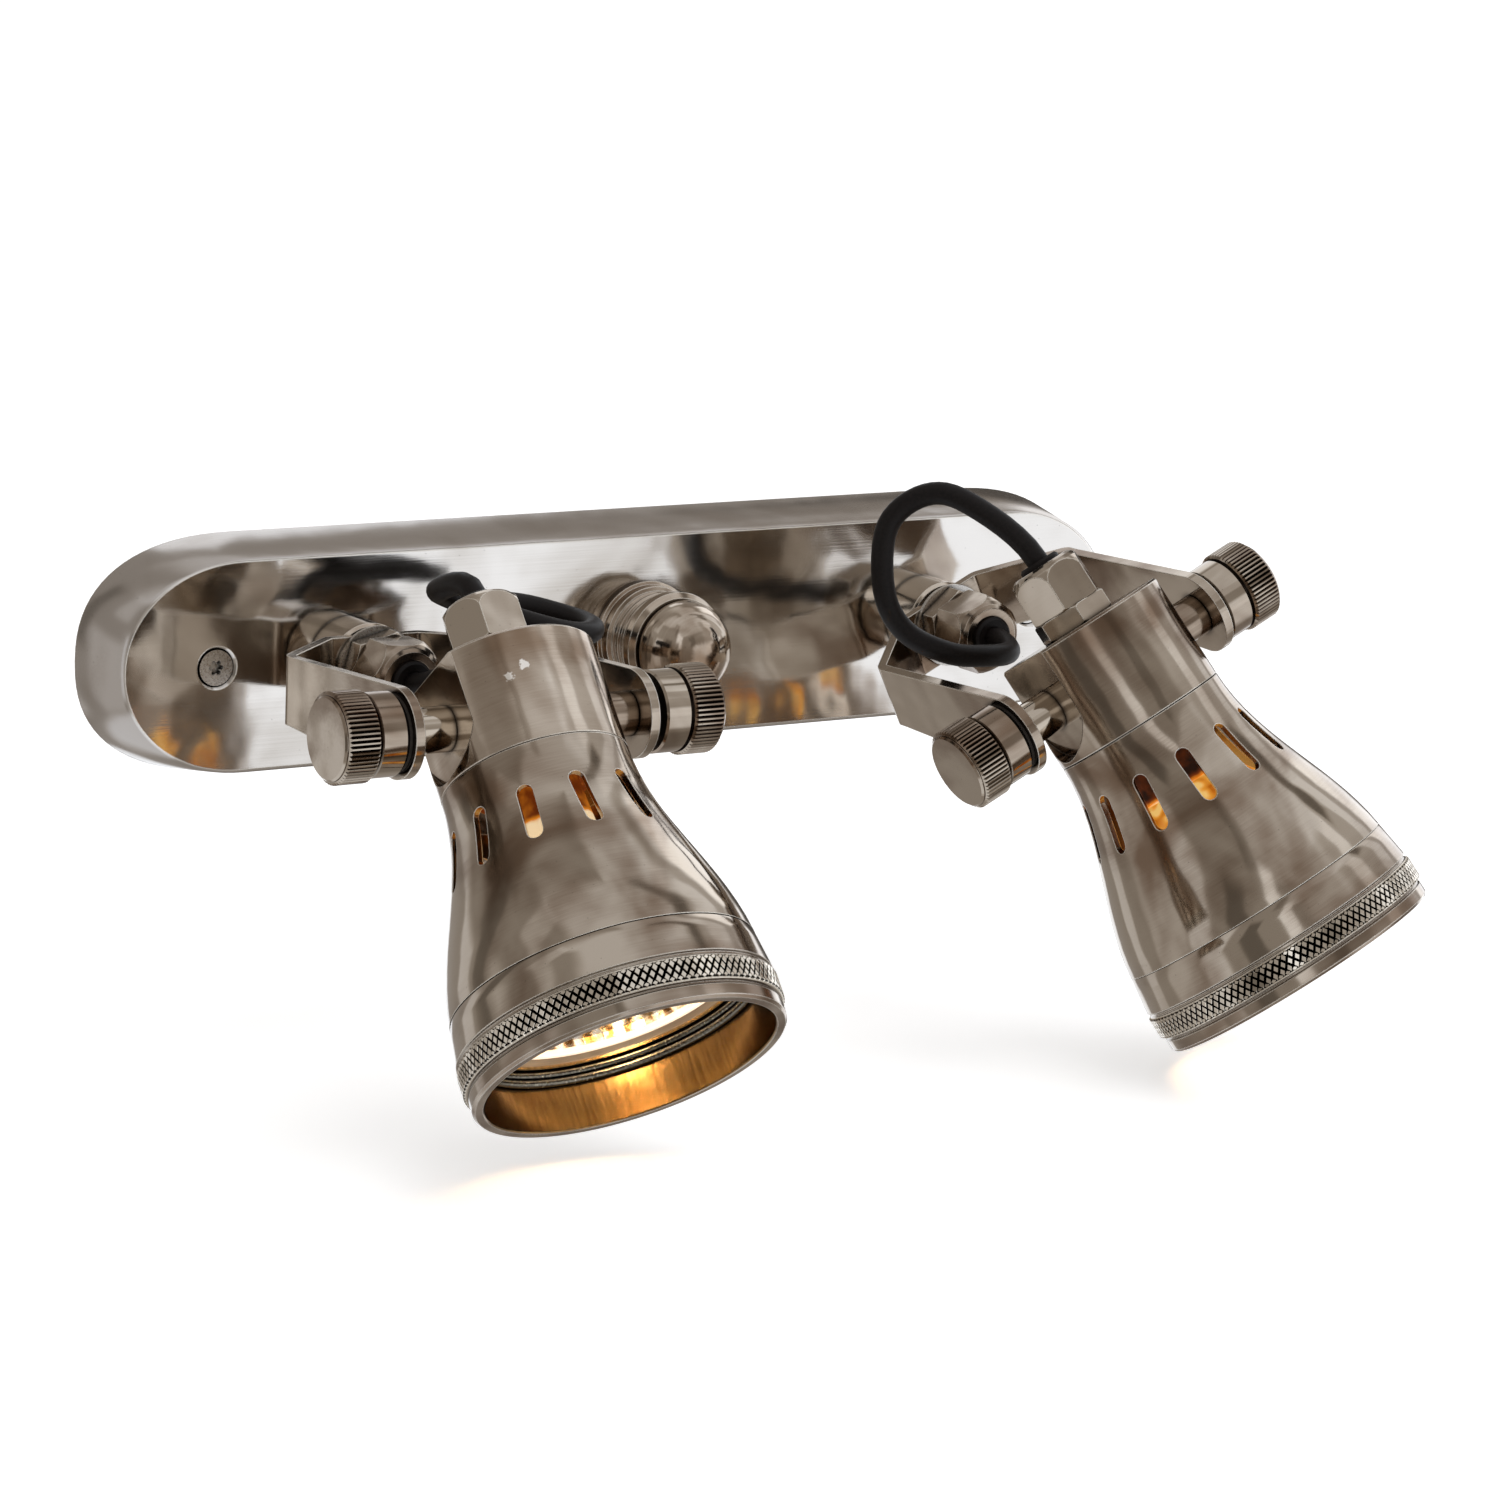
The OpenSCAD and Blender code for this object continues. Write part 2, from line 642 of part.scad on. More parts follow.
module gland_base(bore) {
    difference() {
        union() {
            rotate(gland_turn) hex_bar(gland_base_h, 0.6);
            cylinder(r = gland_thread_r, h = gland_base_h + gland_thread_l);
        }
        translate([0, 0, -1]) cylinder(r = flex_hole_r, h = gland_base_h + gland_thread_l + 2);
        translate([0, 0, -1]) cylinder(r = bore, h = gland_base_h + 0.5);
    }
}

module gland_nut() {
    shoulder = gland_nut_h * 0.54;
    r = gland_corner_r + 0.1;
    translate([0, 0, gland_base_h]) difference() {
        intersection() {
            cylinder(r = gland_corner_r, h = gland_nut_h, $fn = 6);
            rotate_extrude() polygon(concat(
                [[0, 0], [gland_corner_r - 0.6, 0], [r, 0.4]],
                [for (i = [0:5]) let (a = 76 * i / 5)
                    [gland_tip_r + (r - gland_tip_r) * (cos(a) - cos(76)) / (1 - cos(76)),
                     shoulder + (gland_nut_h - shoulder) * sin(a) / sin(76)]],
                [[0, gland_nut_h]]
            ));
        }
        translate([0, 0, -1]) cylinder(r = gland_thread_r + run, h = gland_pocket_h + 1);
        translate([0, 0, -1]) cylinder(r = gland_mouth_r, h = gland_nut_h + 2);
    }
}

// Rubber seal: a disc inside the nut with a neck through its mouth
module gland_seal() {
    disc_z = gland_base_h + gland_thread_l;
    disc_h = gland_base_h + gland_pocket_h - disc_z;
    tip_z = gland_base_h + gland_nut_h + seal_out;
    neck = gland_mouth_r - run;
    rotate_extrude() polygon([
        [seal_hole_r, disc_z], [gland_thread_r, disc_z], [gland_thread_r, disc_z + disc_h],
        [neck, disc_z + disc_h], [neck, tip_z - 0.5], [neck - 0.5, tip_z], [seal_hole_r, tip_z]
    ]);
}

module yoke_gland_base(side) {
    color(NICKEL) on_yoke(side) translate([0, 0, yoke_gland_z]) gland_base(nipple_r + run);
}

module yoke_gland_nut(side) {
    color(NICKEL) on_yoke(side) translate([0, 0, yoke_gland_z]) gland_nut();
}

module yoke_gland_seal(side) {
    color(BLACK) on_yoke(side) translate([0, 0, yoke_gland_z]) gland_seal();
}

// Head gland: the same pieces turned over on the back of the housing
module at_head_gland(side) {
    on_head(side) translate([0, 0, -head_back]) rotate([180, 0, 0]) children();
}

module head_gland_base(side) {
    color(NICKEL) at_head_gland(side) {
        gland_base(flex_hole_r);
        translate([0, 0, -back_wall]) ring(nipple_r - run, flex_hole_r, back_wall);
    }
}

module head_gland_nut(side) {
    color(NICKEL) at_head_gland(side) gland_nut();
}

module head_gland_seal(side) {
    color(BLACK) at_head_gland(side) gland_seal();
}

// Flex from the back of the nipple, through both glands, to the lamp holder
function head_axis_point(side, s) = [0, -sin(tilt[side]) * s, tilt_z + cos(tilt[side]) * s];
function flex_path(side) =
    let (mouth = yoke_gland_z + gland_base_h + gland_nut_h + seal_out + straight)
    let (tip = -head_back - gland_base_h - gland_nut_h - seal_out - straight)
    let (a = [0, 0, mouth], b = head_axis_point(side, tip), run_out = concat([a], loop[side], [b]))
    let (first = run_out[1], last = run_out[len(run_out) - 2])
    let (before = first - [0, 0, 2 * norm(first - a)])
    let (after = last + 2 * norm(last - b) * (head_axis_point(side, 0) - head_axis_point(side, -1)))
    concat(
        [[0, 0, flex_in_z], [0, 0, (flex_in_z + mouth) / 2]],
        smooth_between(before, run_out, after, rings_per_span),
        [head_axis_point(side, (tip + holder_back_s) / 2)],
        [head_axis_point(side, holder_back_s - holder_plate_t)]
    );

module flex(side) {
    color(BLACK) on_yoke(side) tube(flex_path(side), flex_r, tube_sides, [1, 0, 0]);
}

// Head shells
module housing(side) {
    color(NICKEL) on_head(side) difference() {
        rotate_extrude() polygon([
            [0, -head_back], [housing_r - 0.5, -head_back], [housing_r, 0.5 - head_back],
            [housing_r, seam1 - 0.3], [housing_r - 0.3, seam1], [housing_bore, seam1],
            [housing_bore, back_wall - head_back], [0, back_wall - head_back]
        ]);
        translate([0, 0, -head_back - 1]) cylinder(r = nipple_r, h = back_wall + 2);
        for (d = [-1, 1]) along_tilt(d) translate([0, 0, side_flat]) {
            cylinder(r = cutter_r, h = housing_r);
            translate([d > 0 ? 0 : -head_back - 1, -cutter_r, 0])
                cube([head_back + 1, 2 * cutter_r, housing_r]);
        }
        for (d = [-1, 1]) along_tilt(d) cylinder(r = pivot_r - 1.4, h = housing_r);
    }
}

// Two threaded posts, riveted through the housing's side flats
module pivot_posts(side) {
    color(NICKEL) on_head(side) for (d = [-1, 1]) along_tilt(d) difference() {
        union() {
            translate([0, 0, housing_bore + 0.3])
                cylinder(r = pivot_r - 1.4 - run, h = side_flat - housing_bore);
            translate([0, 0, side_flat]) cylinder(r = pivot_r, h = ear_gap / 2 - slip - side_flat);
        }
        cylinder(r = shank_r + run, h = ear_gap);
    }
}

function ease(x) = (1 - cos(180 * x)) / 2;
// Outside radius of the bell at a share t of its length
function bell_radius(t) = housing_r + (bell_r - housing_r) * ease(0.9 * t) / ease(0.9);

module vent_bell(side) {
    n = 14;
    inner_end = 1 - (spigot_l + 1.2) / bell_l;
    outside = [for (i = [0:n]) [bell_radius(i / n), seam1 + bell_l * i / n]];
    inside = [for (i = [n - 2:-1:1]) let (t = inner_end * i / (n - 2))
        [min(bell_radius(t) - bell_wall, spigot_r), seam1 + bell_l * t]];
    throat = housing_bore - run - 1.4;
    color(NICKEL) on_head(side) difference() {
        rotate_extrude() polygon(concat(
            [[throat, seam1 - spigot_l], [housing_bore - run, seam1 - spigot_l], [housing_bore - run, seam1]],
            outside,
            [[spigot_r, seam2], [spigot_r, seam2 - spigot_l - 0.5]],
            inside,
            [[throat, seam1 + 1.5]]
        ));
        for (i = [0:slot_n - 1]) rotate(slot_turn[side] + 360 * i / slot_n)
            translate([0, 0, seam1 + slot_from + slot_l / 2]) rotate([0, 90, 0])
                linear_extrude(bell_r) polygon(slot_outline(slot_l, slot_w));
    }
}

module front_ring(side) {
    seat_s = lamp_s + 1.4;
    band_r = knurl_r - 0.3;
    color(NICKEL) on_head(side) rotate_extrude() polygon([
        [spigot_r - run - spigot_wall, seam2 - spigot_l], [spigot_r - run, seam2 - spigot_l],
        [spigot_r - run, seam2], [bell_r - 0.2, seam2], [bell_r, seam2 + 0.3],
        [band_r, knurl_s - 0.9], [band_r - 0.4, knurl_s - 0.6], [band_r - 0.4, knurl_s - 0.1],
        [knurl_r - knurl_d, knurl_s + 0.1], [knurl_r - knurl_d, lip_s - 0.1],
        [lip_r - 0.3, lip_s + 0.1], [lip_r - 0.3, lip_s + 0.5],
        [lip_r, lip_s + 0.8], [lip_r, mouth_s - 0.6], [lip_r - 0.5, mouth_s],
        [mouth_r + 0.3, mouth_s], [mouth_r, mouth_s - 0.3], [mouth_r, seat_s],
        [spigot_r - run - spigot_wall, seat_s]
    ]);
}

// Two spring wires in front of the lamp, sprung against the ring's inside wall
module snap_rings(side) {
    big = mouth_r - snap_wire_r - run;
    first_s = lamp_s + 1.4 + snap_wire_r + run;
    color(BLACK) on_head(side) for (i = [0, 1])
        translate([0, 0, first_s + i * (2 * snap_wire_r + run)]) torus(big, snap_wire_r);
}

// Lamp
function reflector_radius(t) = lamp_foot_r + 1 + (lamp_r - lamp_foot_r - 1) * pow(t, 0.62);

module lamp_reflector(side) {
    n = 10;
    depth = reflector_l - 3.2;
    wall = 1;
    color(GLASS) on_head(side) rotate_extrude() polygon(concat(
        [[lamp_foot_r + 1 - wall, foot_s], [lamp_foot_r + 1, foot_s]],
        [for (i = [1:n]) [reflector_radius(i / n), foot_s + depth * i / n]],
        [[lamp_r, lamp_s], [lamp_r - wall, lamp_s], [lamp_r - wall, lamp_s - 3.2]],
        [for (i = [n - 1:-1:1]) [reflector_radius(i / n) - wall, foot_s + wall + (depth - wall) * i / n]]
    ));
}

module lamp_glass(side) {
    color(GLASS) on_head(side) translate([0, 0, lamp_s - 1.6]) cylinder(r = lamp_r - 1 - run, h = 1.4);
}

// Ceramic foot with its two headed pins
module lamp_foot(side) {
    color(CERAMIC) on_head(side) translate([0, 0, foot_s]) {
        translate([0, 0, -lamp_foot_l]) cylinder(r1 = lamp_foot_r - 0.8, r2 = lamp_foot_r, h = lamp_foot_l);
        cylinder(r = lamp_foot_r - 0.1, h = 3);
        for (x = [-1, 1]) translate([x * pin_pitch / 2, 0, -lamp_foot_l - pin_l]) {
            cylinder(r = 1.25, h = pin_l + 1);
            cylinder(r = 2.4, h = 2);
        }
    }
}

module lamp_holder(side) {
    color(CERAMIC) on_head(side) translate([0, 0, holder_back_s]) difference() {
        intersection() {
            cylinder(r = holder_r, h = holder_l);
            translate([-holder_r - 1, -holder_r + 3, -1])
                cube([2 * holder_r + 2, 2 * holder_r - 6, holder_l + 2]);
        }
        for (x = [-1, 1]) translate([x * pin_pitch / 2, 0, holder_l - pin_l - 1])
            cylinder(r = 2.7, h = pin_l + 2);
        for (x = [-1, 1]) translate([x * (holder_r - 3), 0, -1]) cylinder(r = 1.3, h = 6);
    }
}

// Spring-steel disc in the housing that carries the lamp holder
module holder_plate(side) {
    color(STEEL) on_head(side) translate([0, 0, holder_back_s - holder_plate_t]) difference() {
        cylinder(r = housing_bore - run, h = holder_plate_t);
        for (x = [-1, 1]) translate([x * (holder_r - 3), 0, -1])
            cylinder(r = 1.6, h = holder_plate_t + 2);
        for (y = [-1, 1]) translate([0, y * (housing_bore - 3.4), -1])
            cylinder(r = 1.8, h = holder_plate_t + 2);
    }
}

// Thumb screws
module knob_washers(side) {
    color(BLACK) on_yoke(side) translate([0, 0, tilt_z]) for (d = [-1, 1]) along_tilt(d)
        translate([0, 0, ear_out]) ring(washer_r, shank_r + run, washer_t);
}

// Knurled head, plain collar and shank; d is the side it screws in from
module thumb_screw(side, d) {
    gap = knob_gap[side][d > 0 ? 1 : 0];
    step = 360 / knob_ridges;
    valley_r = knob_r - ridge_d;
    ridges = [for (i = [0:knob_ridges - 1]) each [
        knob_r * [cos(step * (i - 0.22)), sin(step * (i - 0.22))],
        knob_r * [cos(step * (i + 0.12)), sin(step * (i + 0.12))],
        valley_r * [cos(step * (i + 0.45)), sin(step * (i + 0.45))]
    ]];
    knurl_l = knob_w - 0.9;
    end_r = valley_r - 0.3;
    color(NICKEL) on_head(side) along_tilt(d) translate([0, 0, ear_out + washer_t + gap]) {
        translate([0, 0, -shank_l]) cylinder(r = shank_r, h = shank_l + 1);
        rotate_extrude() polygon([
            [0, 0], [collar_r - 0.4, 0], [collar_r, 0.4], [collar_r, collar_l - 0.5],
            [collar_r - 0.5, collar_l], [collar_r - 0.5, collar_l + 1], [0, collar_l + 1]
        ]);
        translate([0, 0, collar_l + 0.3]) intersection() {
            linear_extrude(knurl_l) polygon(ridges);
            rotate_extrude() polygon([
                [0, 0], [valley_r - 0.1, 0], [knob_r + 0.1, 0.5], [knob_r + 0.1, knurl_l - 0.5],
                [valley_r - 0.1, knurl_l], [0, knurl_l]
            ]);
        }
        translate([0, 0, collar_l + 0.3]) rotate_extrude() polygon([
            [0, knurl_l - 0.5], [end_r, knurl_l - 0.5], [end_r, knurl_l + 0.2],
            [end_r - 0.4, knob_w - 0.3], [0, knob_w - 0.3]
        ]);
    }
}

backplate();
wall_bracket();
bracket_posts();
plate_screws();
terminal_block();
terminal_screws();
inner_leads();
swivel_spacers();
finial_base();
finial_stud();
finial();
yoke(LEFT);  // yoke_l
gland_washer(LEFT);  // gland_washer_l
yoke_gland_base(LEFT);  // yoke_gland_base_l
yoke_gland_nut(LEFT);  // yoke_gland_nut_l
yoke_gland_seal(LEFT);  // yoke_gland_seal_l
swivel_nipple(LEFT);  // swivel_nipple_l
nipple_nut(LEFT);  // nipple_nut_l
flex(LEFT);  // flex_l
knob_washers(LEFT);  // knob_washers_l
housing(LEFT);  // housing_l
pivot_posts(LEFT);  // pivot_posts_l
vent_bell(LEFT);  // vent_bell_l
lamp_reflector(LEFT);  // lamp_reflector_l
lamp_glass(LEFT);  // lamp_glass_l
lamp_foot(LEFT);  // lamp_foot_l
lamp_holder(LEFT);  // lamp_holder_l
holder_plate(LEFT);  // holder_plate_l
head_gland_base(LEFT);  // head_gland_base_l
head_gland_nut(LEFT);  // head_gland_nut_l
head_gland_seal(LEFT);  // head_gland_seal_l
front_ring(LEFT);  // front_ring_l
snap_rings(LEFT);  // snap_rings_l
thumb_screw(LEFT, -1);  // outer_thumb_screw_l
thumb_screw(LEFT, 1);  // inner_thumb_screw_l
yoke(RIGHT);  // yoke_r
gland_washer(RIGHT);  // gland_washer_r
yoke_gland_base(RIGHT);  // yoke_gland_base_r
yoke_gland_nut(RIGHT);  // yoke_gland_nut_r
yoke_gland_seal(RIGHT);  // yoke_gland_seal_r
swivel_nipple(RIGHT);  // swivel_nipple_r
nipple_nut(RIGHT);  // nipple_nut_r
flex(RIGHT);  // flex_r
knob_washers(RIGHT);  // knob_washers_r
housing(RIGHT);  // housing_r
pivot_posts(RIGHT);  // pivot_posts_r
vent_bell(RIGHT);  // vent_bell_r
lamp_reflector(RIGHT);  // lamp_reflector_r
lamp_glass(RIGHT);  // lamp_glass_r
lamp_foot(RIGHT);  // lamp_foot_r
lamp_holder(RIGHT);  // lamp_holder_r
holder_plate(RIGHT);  // holder_plate_r
head_gland_base(RIGHT);  // head_gland_base_r
head_gland_nut(RIGHT);  // head_gland_nut_r
head_gland_seal(RIGHT);  // head_gland_seal_r
front_ring(RIGHT);  // front_ring_r
snap_rings(RIGHT);  // snap_rings_r
thumb_screw(RIGHT, 1);  // outer_thumb_screw_r
thumb_screw(RIGHT, -1);  // inner_thumb_screw_r
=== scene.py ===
"""Two-head wall spot light in antique tin-plated brass: finishes and fine detail on the CAD frame.

Metres. +X right, +Z up, the wall is the plane y = 0 and the room is on -Y. Sizes are given in
millimetres, as in the part's source, and turned to metres by MM.
"""
import math

import bpy
from mathutils import Matrix, Vector


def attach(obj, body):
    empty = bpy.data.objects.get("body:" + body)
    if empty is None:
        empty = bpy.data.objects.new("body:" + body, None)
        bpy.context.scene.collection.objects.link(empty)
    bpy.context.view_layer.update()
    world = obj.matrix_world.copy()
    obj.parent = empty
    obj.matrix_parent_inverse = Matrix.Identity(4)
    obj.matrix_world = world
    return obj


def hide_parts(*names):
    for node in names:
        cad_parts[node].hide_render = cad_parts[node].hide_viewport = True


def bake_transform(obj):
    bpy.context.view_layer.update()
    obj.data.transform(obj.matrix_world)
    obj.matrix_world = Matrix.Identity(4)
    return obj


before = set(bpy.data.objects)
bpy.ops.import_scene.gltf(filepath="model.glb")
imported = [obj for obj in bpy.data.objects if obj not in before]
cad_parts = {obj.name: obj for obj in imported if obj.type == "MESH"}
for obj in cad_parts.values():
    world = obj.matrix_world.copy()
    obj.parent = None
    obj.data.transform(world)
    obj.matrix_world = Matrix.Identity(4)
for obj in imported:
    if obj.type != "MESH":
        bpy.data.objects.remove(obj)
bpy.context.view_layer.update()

MM = 0.001
SIDES = {"l": "left", "r": "right"}

# Places shared with the part's source, in millimetres and degrees
SWIVEL_X = {"l": -70.75, "r": 70.75}
SWING = {"l": 0, "r": 26}
TILT = {"l": 51, "r": 63.5}
TILT_OUT = 86.5
YOKE_SEAL = 45.2      # mouth of the yoke gland's seal, out from the wall
HEAD_SEAL = -27.4     # mouth of the head gland's seal, along the head's axis
SEAL_OUT = 0.5        # where the flex starts to bend, outside each seal
FLEX_R = 2.4
KNURL_FROM, KNURL_TO = 65.2, 70.3
KNURL_R = 31.7
FACE_OUT = 16.5       # face of the cover plate, out from the wall
MOUTH_R = 28.7        # inside radius of the mouth
LAMP_S = 60.0         # front of the lamp along the head's axis
LAMP_R = 25.0
LAMP_FOOT_R = 8.7
REFLECTOR_L = 32.0

# Turns the part's drawing frame (across, up, out from the wall) into the model's frame
FROM_WALL = Matrix.Rotation(math.radians(90), 4, "X")


def yoke_frame(side):
    """Millimetre frame of one yoke: Z out along its swivel axis, Y up, X along the tilt axis."""
    place = Matrix.Translation((SWIVEL_X[side], 0, 0))
    return FROM_WALL @ place @ Matrix.Rotation(math.radians(SWING[side]), 4, "Z")


def head_frame(side):
    """Millimetre frame of one head: X is the tilt axis, Z runs from it to the mouth."""
    tilt = Matrix.Rotation(math.radians(TILT[side]), 4, "X")
    return yoke_frame(side) @ Matrix.Translation((0, 0, TILT_OUT)) @ tilt


# Where handling has rubbed the left housing bright: place on the lamp turned into the head's own
# frame, and radius, in millimetres
RUBBED_SPOTS = [
    (head_frame("l").inverted() @ Vector((-76.5, -98.2, 14.0)), 0.9),
    (head_frame("l").inverted() @ Vector((-79.6, -98.3, 11.8)), 0.8),
]

# Light that leaks round each lamp's foot, painted on it as a glow: where it begins along the head in
# millimetres, and the glow before and after
FOOT_LIGHT = {"l": (23, 0.28, 0.85), "r": (27.3, 0.05, 0.6)}

# Camera, at the photograph's viewing angle: places in metres, roll in degrees, lens in millimetres
CAMERA_AT = (-0.5478, -0.9104, 0.1939)
CAMERA_AIM = (0.03863, 0.0, -0.03095)
CAMERA_ROLL = 2.27
LENS = 120.69
SENSOR = 36


def make_camera():
    data = bpy.data.cameras.new("camera")
    data.lens, data.sensor_width = LENS, SENSOR
    data.clip_start, data.clip_end = 0.05, 20
    camera = bpy.data.objects.new("camera", data)
    bpy.context.scene.collection.objects.link(camera)
    look = Vector(CAMERA_AIM) - Vector(CAMERA_AT)
    turn = look.to_track_quat("-Z", "Y").to_matrix().to_4x4()
    turn = turn @ Matrix.Rotation(math.radians(CAMERA_ROLL), 4, "Z")
    camera.matrix_world = Matrix.Translation(CAMERA_AT) @ turn
    bpy.context.scene.camera = camera


make_camera()

# Materials


def linear(hex_colour, alpha=1.0):
    """An sRGB hex colour such as "8c8278" as linear RGBA."""
    values = [int(hex_colour[i:i + 2], 16) / 255 for i in (0, 2, 4)]
    return [v / 12.92 if v <= 0.04045 else ((v + 0.055) / 1.055) ** 2.4 for v in values] + [alpha]


def fill(tree, node, inputs):
    """Fills each input of a node with a value or a link."""
    for name, value in inputs.items():
        if isinstance(value, bpy.types.NodeSocket):
            tree.links.new(value, node.inputs[name])
        else:
            node.inputs[name].default_value = value


def add(tree, kind, inputs=None, **settings):
    """Adds a node, sets it up, and fills its inputs."""
    node = tree.nodes.new(kind)
    for name, value in settings.items():
        setattr(node, name, value)
    fill(tree, node, inputs or {})
    return node


def new_material(name):
    material = bpy.data.materials.new(name)
    material.use_nodes = True
    tree = material.node_tree
    tree.nodes.clear()
    shader = add(tree, "ShaderNodeBsdfPrincipled")
    add(tree, "ShaderNodeOutputMaterial", {"Surface": shader.outputs[0]})
    return material, tree, shader


def ramp(tree, value, stops, interpolation="LINEAR"):
    """A colour ramp with (place, hex) stops."""
    node = add(tree, "ShaderNodeValToRGB", {"Fac": value})
    node.color_ramp.interpolation = interpolation
    elements = node.color_ramp.elements
    while len(elements) < len(stops):
        elements.new(0.5)
    for element, (place, colour) in zip(elements, stops):
        element.position, element.color = place, linear(colour)
    return node.outputs["Color"]


def piece_coords(tree, placed, scale=(1, 1, 1)):
    """Object coordinates in a piece's own millimetre frame, stretched by scale."""
    back = placed.inverted()
    turn = add(tree, "ShaderNodeMapping", {
        "Vector": add(tree, "ShaderNodeTexCoord").outputs["Object"],
        "Location": back.to_translation(),
        "Rotation": back.to_euler(),
        "Scale": (1 / MM,) * 3,
    })
    stretch = add(tree, "ShaderNodeMapping", {"Vector": turn.outputs[0], "Scale": scale})
    return stretch.outputs[0]


def math_node(tree, operation, *values):
    """The output of a Math node on the given values or links."""
    return add(tree, "ShaderNodeMath", dict(enumerate(values)), operation=operation).outputs[0]


def plus_share(tree, value, other, share):
    """value plus a share of other."""
    return math_node(tree, "ADD", value, math_node(tree, "MULTIPLY", other, share))


def mix_colours(tree, share, first, second):
    """Colour first where share is 0 and second where it is 1."""
    return add(tree, "ShaderNodeMix", {0: share, 6: first, 7: second}, data_type="RGBA").outputs[2]


def mix_values(tree, share, first, second):
    """Value first where share is 0 and second where it is 1."""
    return add(tree, "ShaderNodeMix", {0: share, 2: first, 3: second}).outputs[0]


def band(tree, value, low, high, result=(0.0, 1.0)):
    """Goes smoothly from the first result to the second as value goes from low to high."""
    return add(tree, "ShaderNodeMapRange", {
        "Value": value, "From Min": low, "From Max": high, "To Min": result[0], "To Max": result[1]},
        interpolation_type="SMOOTHSTEP").outputs[0]


def noise(tree, coords, scale, **inputs):
    """Value of a noise texture with scale patches to the unit of its coordinates."""
    return add(tree, "ShaderNodeTexNoise", {"Vector": coords, "Scale": scale, **inputs}).outputs[0]


def openness(tree, reach_mm, samples):
    """How much each place sees of what is around it: 1 in the open, and low in a crevice."""
    return add(tree, "ShaderNodeAmbientOcclusion", {"Distance": reach_mm * MM}, samples=samples).outputs["AO"]


# Antique finish
DRIFT_SHARE, HAIRLINE_SHARE = 0.93, 0.07  # what the patina's tone follows
PATINA = (0.34, 0.62)                     # where it goes from dark to light
# The bright edge colour is partly bare metal from wear and partly a painted highlight
# The crevice colour is partly patina left in hollows and partly painted shade
PINHOLE, CREVICE_PATINA_AND_SHADE, WORN_EDGE_AND_HIGHLIGHT = "2e241b", "1c140d", "fbf6ec"
WORN_AND_HIGHLIGHT_SHARE = 0.9                          # how far an edge rubbed by wear is bare, and so painted bright as a highlight
WORN_ROUGH = 0.42                         # fine scratches keep it from being a mirror
WAVE_SCALE, WAVE_MM = 0.09, 0.22          # waves that hand polishing leaves
HAIRLINE_MM = 0.04                        # depth of the hairlines


def antique_metal(name, placed, brush, light="bbafa0", dark="7d6958", rough=0.11, cloud_mm=30,
                  crevice=0.85, edge_mm=0.35, marked=0.02, extra=None):
    """Tin-plated brass, blackened and then polished back: warm grey, brown in hollows, bright on edges.

    The brown in hollows is partly patina and partly painted shade, and the bright edges are partly wear
    and partly a painted highlight.

    brush stretches the polishing marks in the piece's own millimetre frame. extra(tree, coords, tone,
    rough) may change the tone and the roughness where one piece has several finishes.
    """
    material, tree, shader = new_material(name)
    coords = piece_coords(tree, placed)
    # Slow drift of the patina, and the hairlines that the polishing mop leaves, about 0.4 mm apart
    drift = noise(tree, coords, 1 / cloud_mm, Detail=3, Roughness=0.55, Distortion=0.6)
    hairlines = noise(tree, piece_coords(tree, placed, brush), 1, Detail=3, Roughness=0.65)
    patina = plus_share(tree, math_node(tree, "MULTIPLY", drift, DRIFT_SHARE), hairlines, HAIRLINE_SHARE)
    tone = mix_colours(tree, band(tree, patina, *PATINA), linear(dark), linear(light))
    # Pinholes in the plating, about 2 mm apart, and dark brown where little is open around: patina left
    # where a mop can't reach, and painted shade
    pits = add(tree, "ShaderNodeTexVoronoi", {"Vector": coords, "Scale": 0.55}).outputs["Distance"]
    tone = mix_colours(tree, band(tree, pits, 0.035, 0.075, (0.5, 0)), tone, linear(PINHOLE))
    in_open = openness(tree, 1.8, 8)
    tone = mix_colours(tree, band(tree, in_open, 0.35, 0.92, (crevice, 0)), tone, linear(CREVICE_PATINA_AND_SHADE))
    rubbed = band(tree, plus_share(tree, drift, hairlines, 0.5), 0.5, 1.0, (rough + 0.06, rough - 0.04))
    normal = add(tree, "ShaderNodeNewGeometry").outputs["Normal"]
    if edge_mm:
        # Edges rounded by polishing and rubbed bright where they stand free: the bright edge is partly wear
        # and partly a painted highlight
        soft = add(tree, "ShaderNodeBevel", {"Radius": edge_mm * MM}, samples=6).outputs[0]
        turn = add(tree, "ShaderNodeVectorMath", {0: soft, 1: normal}, operation="DOT_PRODUCT")
        worn_and_highlight = math_node(tree, "MULTIPLY", band(tree, turn.outputs["Value"], 0.998, 0.93),
                         band(tree, in_open, 0.55, 0.85))
        tone = mix_colours(tree, math_node(tree, "MULTIPLY", worn_and_highlight, WORN_AND_HIGHLIGHT_SHARE), tone, linear(WORN_EDGE_AND_HIGHLIGHT))
        rubbed = mix_values(tree, worn_and_highlight, rubbed, WORN_ROUGH)
        normal = soft
    if extra:
        tone, rubbed = extra(tree, coords, tone, rubbed)
    # Hand polishing leaves the surface slightly wavy, which bends its reflections
    wavy = add(tree, "ShaderNodeBump", {
        "Height": noise(tree, coords, WAVE_SCALE, Detail=1), "Strength": 1, "Distance": WAVE_MM * MM,
        "Normal": normal}).outputs[0]
    relief = add(tree, "ShaderNodeBump", {
        "Height": hairlines, "Strength": marked, "Distance": HAIRLINE_MM * MM, "Normal": wavy}).outputs[0]
    fill(tree, shader, {"Base Color": tone, "Roughness": rubbed, "Normal": relief, "Metallic": 1})
    return material


def split(tree, coords):
    """Distance from a piece's axis, and place along it, both in millimetres."""
    parts = add(tree, "ShaderNodeSeparateXYZ", {"Vector": coords}).outputs
    across = add(tree, "ShaderNodeVectorMath", {0: coords, 1: (1, 1, 0)}, operation="MULTIPLY").outputs[0]
    radius = add(tree, "ShaderNodeVectorMath", {0: across}, operation="LENGTH").outputs["Value"]
    return radius, parts["Z"]


